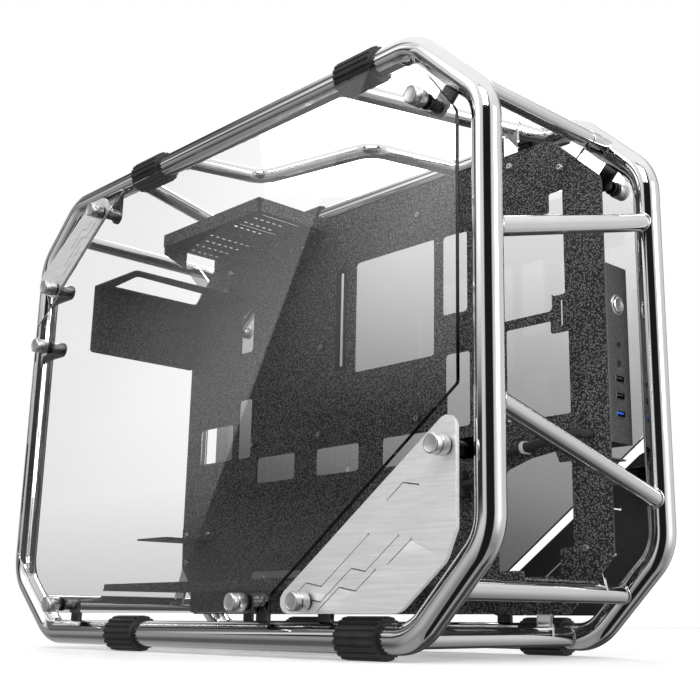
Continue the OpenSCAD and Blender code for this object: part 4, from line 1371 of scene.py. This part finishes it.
@dataclass(frozen=True)
class TubeFrame:
    """Two bent loops, the cross tubes between them and the welds at their joints.

    The loops are thinner than their solids by the skin, so that none of their sides
    stands out of them.
    """

    layout: CaseLayout = CaseLayout()
    sides: int = 64
    arc_steps: int = 14
    skin: float = 0.02
    collar_edge: float = 0.3
    sleeve_edge: float = 0.5
    bead_d: float = 2.6
    bead_ripple: float = 0.22
    bead_steps: int = 64
    bead_sides: int = 8
    bead_sharp_over: float = 80.0

    def lifted(self, x: float, spot: Vector) -> Vector:
        """Put a point of the (Y, Z) plane at X, in metres."""
        return Vector((x, spot.x, spot.y)) * MM

    def loop_path(self) -> list[Vector]:
        """Round the outline of a loop.

        Returns:
            The points of its centre line in (Y, Z).
        """
        spots = self.layout.corners()
        path = []
        for index, spot in enumerate(spots):
            path += rounded_corner(spots[index - 1], spot, spots[(index + 1) % len(spots)],
                                   self.layout.tube_bend, self.arc_steps)
        return path

    def build_loop(self, shop: Workshop, side: Side) -> bpy.types.Object:
        """Bend one loop of polished tube.

        Args:
            shop: The frame and the finishes.
            side: Side of the case.

        Returns:
            The new loop.
        """
        builder = bmesh.new()
        x = side.value * self.layout.loop_x
        path = [self.lifted(x, spot) for spot in self.loop_path()]
        radius = self.layout.tube_d / 2 - self.skin
        sweep_tube(builder, path, radius * MM, self.sides, closed=True)
        return shop.piece(f"{side.word}_bent_loop", builder, f"{side.word}_loop")

    def bar_ends(self, bar: CrossTube) -> tuple[Vector, Vector]:
        """Give a cross tube's ends on the loops' centre lines, in metres."""
        x = self.layout.loop_x
        return self.lifted(-x, bar.left), self.lifted(x, bar.right)

    def build_bar(self, shop: Workshop, node: str, bar: CrossTube) -> bpy.types.Object:
        """Lay one straight cross tube between the loops.

        Args:
            shop: The frame and the finishes.
            node: The tube's CAD node.
            bar: Where the tube runs.

        Returns:
            The new tube.
        """
        builder = bmesh.new()
        sweep_tube(builder, self.bar_ends(bar), self.layout.bar_d / 2 * MM, self.sides)
        return shop.piece(f"{node}_tube", builder, node)

    def bent_path(self) -> list[Vector]:
        """Round the centre line of the bent top tube.

        Returns:
            The line's points, in metres.
        """
        reach, (left_y, right_y) = self.layout.loop_x, self.layout.bent_ends
        places = [(-reach, left_y), *self.layout.bent_turns, (reach, right_y)]
        turns = [Vector((x, y, self.layout.top_z)) for x, y in places]
        path = [turns[0]]
        for before, corner, after in zip(turns, turns[1:], turns[2:]):
            path += rounded_corner(before, corner, after, self.layout.bent_bend,
                                   self.arc_steps)
        path.append(turns[-1])
        return [point * MM for point in path]

    def build_bent_tube(self, shop: Workshop) -> bpy.types.Object:
        """Bend the top tube that swings across the case.

        Args:
            shop: The frame and the finishes.

        Returns:
            The new tube.
        """
        builder = bmesh.new()
        sweep_tube(builder, self.bent_path(), self.layout.bar_d / 2 * MM, self.sides)
        return shop.piece("bent_top_tube_run", builder, "bent_top_tube")

    def rail(self, run: LoopRun) -> Vector:
        """Give the direction of a loop's run.

        Args:
            run: The straight run.

        Returns:
            Its unit direction.
        """
        spots = self.layout.corners()
        way = (spots[(run + 1) % len(spots)] - spots[run]).normalized()
        return Vector((0.0, way.x, way.y))

    def seam(self, foot: Vector, along: Vector, rail: Vector) -> list[Vector]:
        """Give the closed line where a cross tube meets a loop.

        Args:
            foot: Where the two centre lines meet, in metres.
            along: Unit direction of the cross tube, away from the foot.
            rail: Unit direction of the loop there.

        Returns:
            The seam's points.
        """
        bar_r = self.layout.bar_d / 2 * MM
        loop_r = self.layout.tube_d / 2 * MM
        side = along.orthogonal().normalized()
        lean = along.dot(rail)
        square = 1 - lean * lean
        points = []
        for spoke in ring_spots(Vector(), side, along.cross(side), bar_r, self.bead_steps):
            drift = spoke.dot(rail)
            reach = loop_r ** 2 - bar_r ** 2 + drift ** 2
            out = (drift * lean + math.sqrt((drift * lean) ** 2 + square * reach)) / square
            points.append(foot + spoke + along * out)
        return points

    def add_beads(self, builder: bmesh.types.BMesh, path: Sequence[Vector],
                  rail: Vector) -> None:
        """Lay a rippled weld bead round both ends of a cross tube.

        Args:
            builder: Mesh that takes the beads.
            path: The tube's centre line, in metres.
            rail: Unit direction of the loops there.
        """
        for foot, beyond in ((path[0], path[1]), (path[-1], path[-2])):
            seam = self.seam(foot, (beyond - foot).normalized(), rail)
            radii = [(self.bead_d / 2 + self.bead_ripple * (step % 2)) * MM
                     for step in range(len(seam))]
            sweep_tube(builder, seam, radii, self.bead_sides, closed=True)

    def build_welds(self, shop: Workshop) -> bpy.types.Object:
        """Weld every cross tube to both loops.

        Args:
            shop: The frame and the finishes.

        Returns:
            All the beads in one piece.
        """
        builder = bmesh.new()
        for bar in self.layout.bars().values():
            self.add_beads(builder, self.bar_ends(bar), self.rail(bar.run))
        self.add_beads(builder, self.bent_path(), self.rail(LoopRun.TOP))
        return shop.piece("frame_welds", builder, "left_loop", replaces=False,
                          finish="weld_bead", sharp_over=self.bead_sharp_over)

    def build(self, shop: Workshop) -> None:
        """Build the whole tube frame.

        Args:
            shop: The frame and the finishes.
        """
        for side in Side:
            self.build_loop(shop, side)
        for node, bar in self.layout.bars().items():
            self.build_bar(shop, node, bar)
        self.build_bent_tube(shop)
        self.build_welds(shop)
        shop.break_edges("bar_joint_collars", "bar_collars", self.collar_edge)
        shop.break_edges("ribbed_rubber_sleeves", "rubber_sleeves", self.sleeve_edge)


@dataclass(frozen=True)
class SidePanels:
    """Glass panes, corner plates and the hardware that holds them.

    A thumb nut's heel and rim are pairs: the distance from that end of the nut, and
    how far the outline there stays inside the nut's radius.
    """

    glass_edge: float = 0.45
    glass_facets: int = 1
    plate_edge: float = 0.22
    plate_facing: float = 0.5
    mount_edge: float = 0.35
    washer_edge: float = 0.5
    nut_x: float = 143.0
    nut_d: float = 16.5
    nut_len: float = 15.0
    nut_sides: int = 64
    nut_heel: tuple[Pair, ...] = ((0.0, 0.7), (0.25, 0.25), (0.7, 0.0))
    nut_rim: tuple[Pair, ...] = (
        (1.4, 0.0), (0.7, 0.25), (0.25, 0.8), (0.05, 1.5), (0.35, 1.9), (0.5, 2.4))
    neck_at: float = 9.3
    neck_len: float = 1.4
    neck_depth: float = 1.2
    neck_chamfer: float = 0.3
    stud_places: tuple[Pair, ...] = (
        (-315.0, 461.0), (318.0, 350.0), (239.0, 47.0), (-94.0, 47.0),
        (211.0, 495.0), (309.0, 421.0), (-180.0, 47.0), (-340.0, 163.0))

    def nut_profile(self) -> list[Pair]:
        """Give a thumb nut's outline.

        Returns:
            Pairs of distance from the washer and radius.
        """
        radius, chamfer = self.nut_d / 2, self.neck_chamfer
        start, end = self.neck_at - self.neck_len, self.neck_at
        low = radius - self.neck_depth
        heel = [(along, radius - inset) for along, inset in self.nut_heel]
        neck = [(start - chamfer, radius), (start, radius - chamfer), (start, low),
                (end, low), (end, radius - chamfer), (end + chamfer, radius)]
        rim = [(self.nut_len - back, radius - inset) for back, inset in self.nut_rim]
        return [(0.0, 0.0), *heel, *neck, *rim, (rim[-1][0], 0.0)]

    def build_plate(self, shop: Workshop, side: Side, level: Level) -> bpy.types.Object:
        """Copy one corner plate, brushed outside, with its inner faces painted black as
        painted shade.

        Args:
            shop: The frame and the finishes.
            side: Side of the case.
            level: Which of the side's two plates.

        Returns:
            The new plate.
        """
        plate = shop.break_edges(f"{side.word}_{level.value}_corner_plate",
                                 f"{side.word}_{level.value}_plate", self.plate_edge)
        # The inner faces take the fine black coat, painted shade.
        shop.paint(plate, "plate_back",
                   lambda face: face.normal.x * side.value < -self.plate_facing)
        return plate

    def build_nuts(self, shop: Workshop, side: Side) -> bpy.types.Object:
        """Turn one side's thumb nuts.

        Args:
            shop: The frame and the finishes.
            side: Side of the case.

        Returns:
            All the side's nuts in one piece.
        """
        builder = bmesh.new()
        profile = [(along * MM, radius * MM) for along, radius in self.nut_profile()]
        for y, z in self.stud_places:
            origin = Vector((side.value * self.nut_x, y, z)) * MM
            turn_profile(builder, profile, origin, Vector((side.value, 0.0, 0.0)),
                         self.nut_sides)
        return shop.piece(f"{side.word}_turned_nuts", builder, f"{side.word}_thumb_nuts")

    def build(self, shop: Workshop) -> None:
        """Build both side panels.

        Args:
            shop: The frame and the finishes.
        """
        # The right pane takes the darker copy of the glass, whose tint is painted shade.
        for side, finish in ((Side.LEFT, "smoked_glass"), (Side.RIGHT, "deep_smoked_glass")):
            word = side.word
            shop.break_edges(f"{word}_glass_pane", f"{word}_glass", self.glass_edge,
                             segments=self.glass_facets, finish=finish)
            for level in Level:
                self.build_plate(shop, side, level)
            shop.break_edges(f"{word}_welded_tabs", f"{word}_panel_mounts",
                             self.mount_edge, finish="tab_steel")
            self.build_nuts(shop, side)
        shop.break_edges("rubber_panel_washers", "panel_washers", self.washer_edge)


@dataclass(frozen=True)
class TrayAssembly:
    """The board tray, its folded brackets and their fastenings.

    The tables of folded and small pieces pair each piece's name with its CAD node.
    The vents whose front walls take bare metal, partly a painted highlight, are those behind
    a place in Y and above a height in Z.
    """

    sheet_edge: float = 0.3
    small_edge: float = 0.25
    front_edge_y: float = -346.0
    cutter_x: Pair = (69.0, 73.0)
    window_foot: tuple[Pair, ...] = (
        (-285.0, 344.0), (-285.0, 326.5), (-282.0, 323.5), (-203.0, 323.5),
        (-200.0, 326.5), (-200.0, 391.5), (-285.0, 361.5))
    folded: tuple[tuple[str, str], ...] = (
        ("slotted_top_bracket", "top_bracket"),
        ("supply_bracket", "psu_bracket"), ("folded_drive_shelf", "drive_shelf"),
        ("folded_rear_ledge", "rear_ledge"), ("welded_tray_brackets", "tray_brackets"))
    small: tuple[tuple[str, str], ...] = (
        ("tray_screw_heads", "tray_screws"), ("bracket_screw_heads", "bracket_screws"),
        ("threaded_standoffs", "board_standoffs"), ("slot_grommet", "cable_grommet"))
    vented: str = "top_bracket"
    vents_beyond: Pair = (52.0, 496.0)

    def cutter(self) -> bpy.types.Mesh:
        """Make the prism that takes the upper cable window down to its strap.

        Returns:
            The prism's mesh.
        """
        builder = bmesh.new()
        near, far = ([builder.verts.new(Vector((x, y, z)) * MM) for y, z in self.window_foot]
                     for x in self.cutter_x)
        builder.faces.new(near)
        builder.faces.new(far)
        bridge(builder, near, far)
        bmesh.ops.recalc_face_normals(builder, faces=builder.faces)
        return close_mesh("window_cutter", builder)

    def build_tray(self, shop: Workshop) -> bpy.types.Object:
        """Copy the tray, with its upper cable window cut to the strap and its front edge
        painted dark as painted shade.

        Args:
            shop: The frame and the finishes.

        Returns:
            The new tray.
        """
        tray = shop.break_edges("pressed_tray", "motherboard_tray", self.sheet_edge)
        cutter = stand("window_cutter", self.cutter())
        cut = tray.modifiers.new("window", "BOOLEAN")
        cut.operation = "DIFFERENCE"
        cut.object = cutter
        graph = bpy.context.evaluated_depsgraph_get()
        mesh = bpy.data.meshes.new_from_object(tray.evaluated_get(graph))
        tray.modifiers.clear()
        tray.data = mesh
        bpy.data.objects.remove(cutter)
        # The tray's front edge faces take the fine black coat, painted shade of the gap
        # beside the port box.
        front = self.front_edge_y * MM
        shop.paint(tray, "plate_back",
                   lambda face: face.normal.y < -FACING and face.center.y < front)
        return tray

    def brighten_vents(self, shop: Workshop, sheet: bpy.types.Object) -> None:
        """Give the cut walls of the vents that look to the front bare metal, partly real and
        partly a painted highlight, as only these walls take it.

        Args:
            shop: The frame and the finishes.
            sheet: Folded bracket with the vents.
        """
        front, low = (value * MM for value in self.vents_beyond)
        shop.paint(sheet, "turned_metal",
                   lambda face: (face.normal.y < -FACING and face.center.y > front
                                 and face.center.z > low))

    def build(self, shop: Workshop) -> None:
        """Break the edges of every sheet and fastening.

        Args:
            shop: The frame and the finishes.
        """
        self.build_tray(shop)
        for name, node in self.folded:
            sheet = shop.break_edges(name, node, self.sheet_edge)
            if node == self.vented:
                self.brighten_vents(shop, sheet)
        for name, node in self.small:
            shop.break_edges(name, node, self.small_edge)


@dataclass(frozen=True)
class PortBox:
    """The front port box with its ports and power button.

    The table of small pieces pairs each piece's name with its CAD node.
    """

    box_edge: float = 0.7
    box_facing: float = 0.3
    bracket_edge: float = 0.4
    port_edge: float = 0.2
    small: tuple[tuple[str, str], ...] = (
        ("button_seat_ring", "button_bezel"), ("jack_barrels", "audio_jacks"),
        ("port_shells", "usb_ports"), ("port_box_screws", "io_screws"))

    def build(self, shop: Workshop) -> None:
        """Build the box and what shows in its face.

        Args:
            shop: The frame and the finishes.
        """
        shell = shop.break_edges("port_box_shell", "io_housing", self.box_edge)
        # The box's front-left edge faces take a lighter grey, a painted highlight.
        shop.paint(shell, "box_edge",
                   lambda face: max(face.normal.x, face.normal.y) < -self.box_facing)
        shop.break_edges("port_box_bracket", "io_bracket", self.bracket_edge)
        for name, node in self.small:
            shop.break_edges(name, node, self.port_edge)


@dataclass(frozen=True)
class PortHarness:
    """The cable bundle from the port box and the plugs at its end.

    The turns are measured from the box's back and foot, and across from the line
    that the bundle keeps beside the tray.
    """

    tray_x: float = 70.0
    box_back_y: float = -315.0
    box_foot_z: float = 190.0
    diameter: float = 8.0
    tray_gap: float = 3.0
    turns: tuple[Point, ...] = (
        (21.0, -10.0, 9.0), (5.0, -10.0, 9.0), (-3.0, 2.0, 9.0), (0.0, 22.0, 6.0),
        (0.0, 68.0, 2.0), (0.0, 92.0, -5.0), (0.0, 112.0, -18.0), (0.0, 126.0, -26.0),
        (0.0, 133.0, -26.0), (0.0, 140.0, -26.0))
    steps: int = 6
    sides: int = 24
    plug_edge: float = 0.5
    tie_edge: float = 0.2

    def knots(self) -> list[Vector]:
        """Give the points that the bundle passes through.

        Returns:
            The points, in metres.
        """
        x = self.tray_x - self.diameter / 2 - self.tray_gap
        origin = Vector((x, self.box_back_y, self.box_foot_z))
        return [(origin + Vector(turn)) * MM for turn in self.turns]

    def path(self) -> list[Vector]:
        """Give the bundle's smooth centre line.

        Returns:
            The line's points, in metres.
        """
        knots = self.knots()
        last = len(knots) - 1
        points = []
        for index in range(last):
            nearby = (knots[max(index - 1, 0)], knots[index], knots[index + 1],
                      knots[min(index + 2, last)])
            points += [smooth_point(*nearby, step / self.steps) for step in range(self.steps)]
        points.append(knots[last])
        return points

    def build(self, shop: Workshop) -> None:
        """Build the braided bundle, its plugs and its tie.

        Args:
            shop: The frame and the finishes.
        """
        path = self.path()
        builder = bmesh.new()
        sweep_tube(builder, path, self.diameter / 2 * MM, self.sides)
        bundle = shop.piece("braided_bundle", builder, "port_harness")
        plugs = shop.break_edges("bundle_plugs", "harness_plugs", self.plug_edge)
        tie = shop.break_edges("nylon_tie", "harness_tie", self.tie_edge)


def main() -> None:
    """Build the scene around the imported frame."""
    logging.basicConfig(level=logging.INFO, format="%(message)s")
    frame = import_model()
    PhotoCamera().build()
    Studio().build()
    shop = Workshop(frame)
    for assembly in (PortHarness(), TubeFrame(), SidePanels(), TrayAssembly(), PortBox()):
        assembly.build(shop)
        LOG.info("finished %s", type(assembly).__name__)


if __name__ == "__main__":
    main()
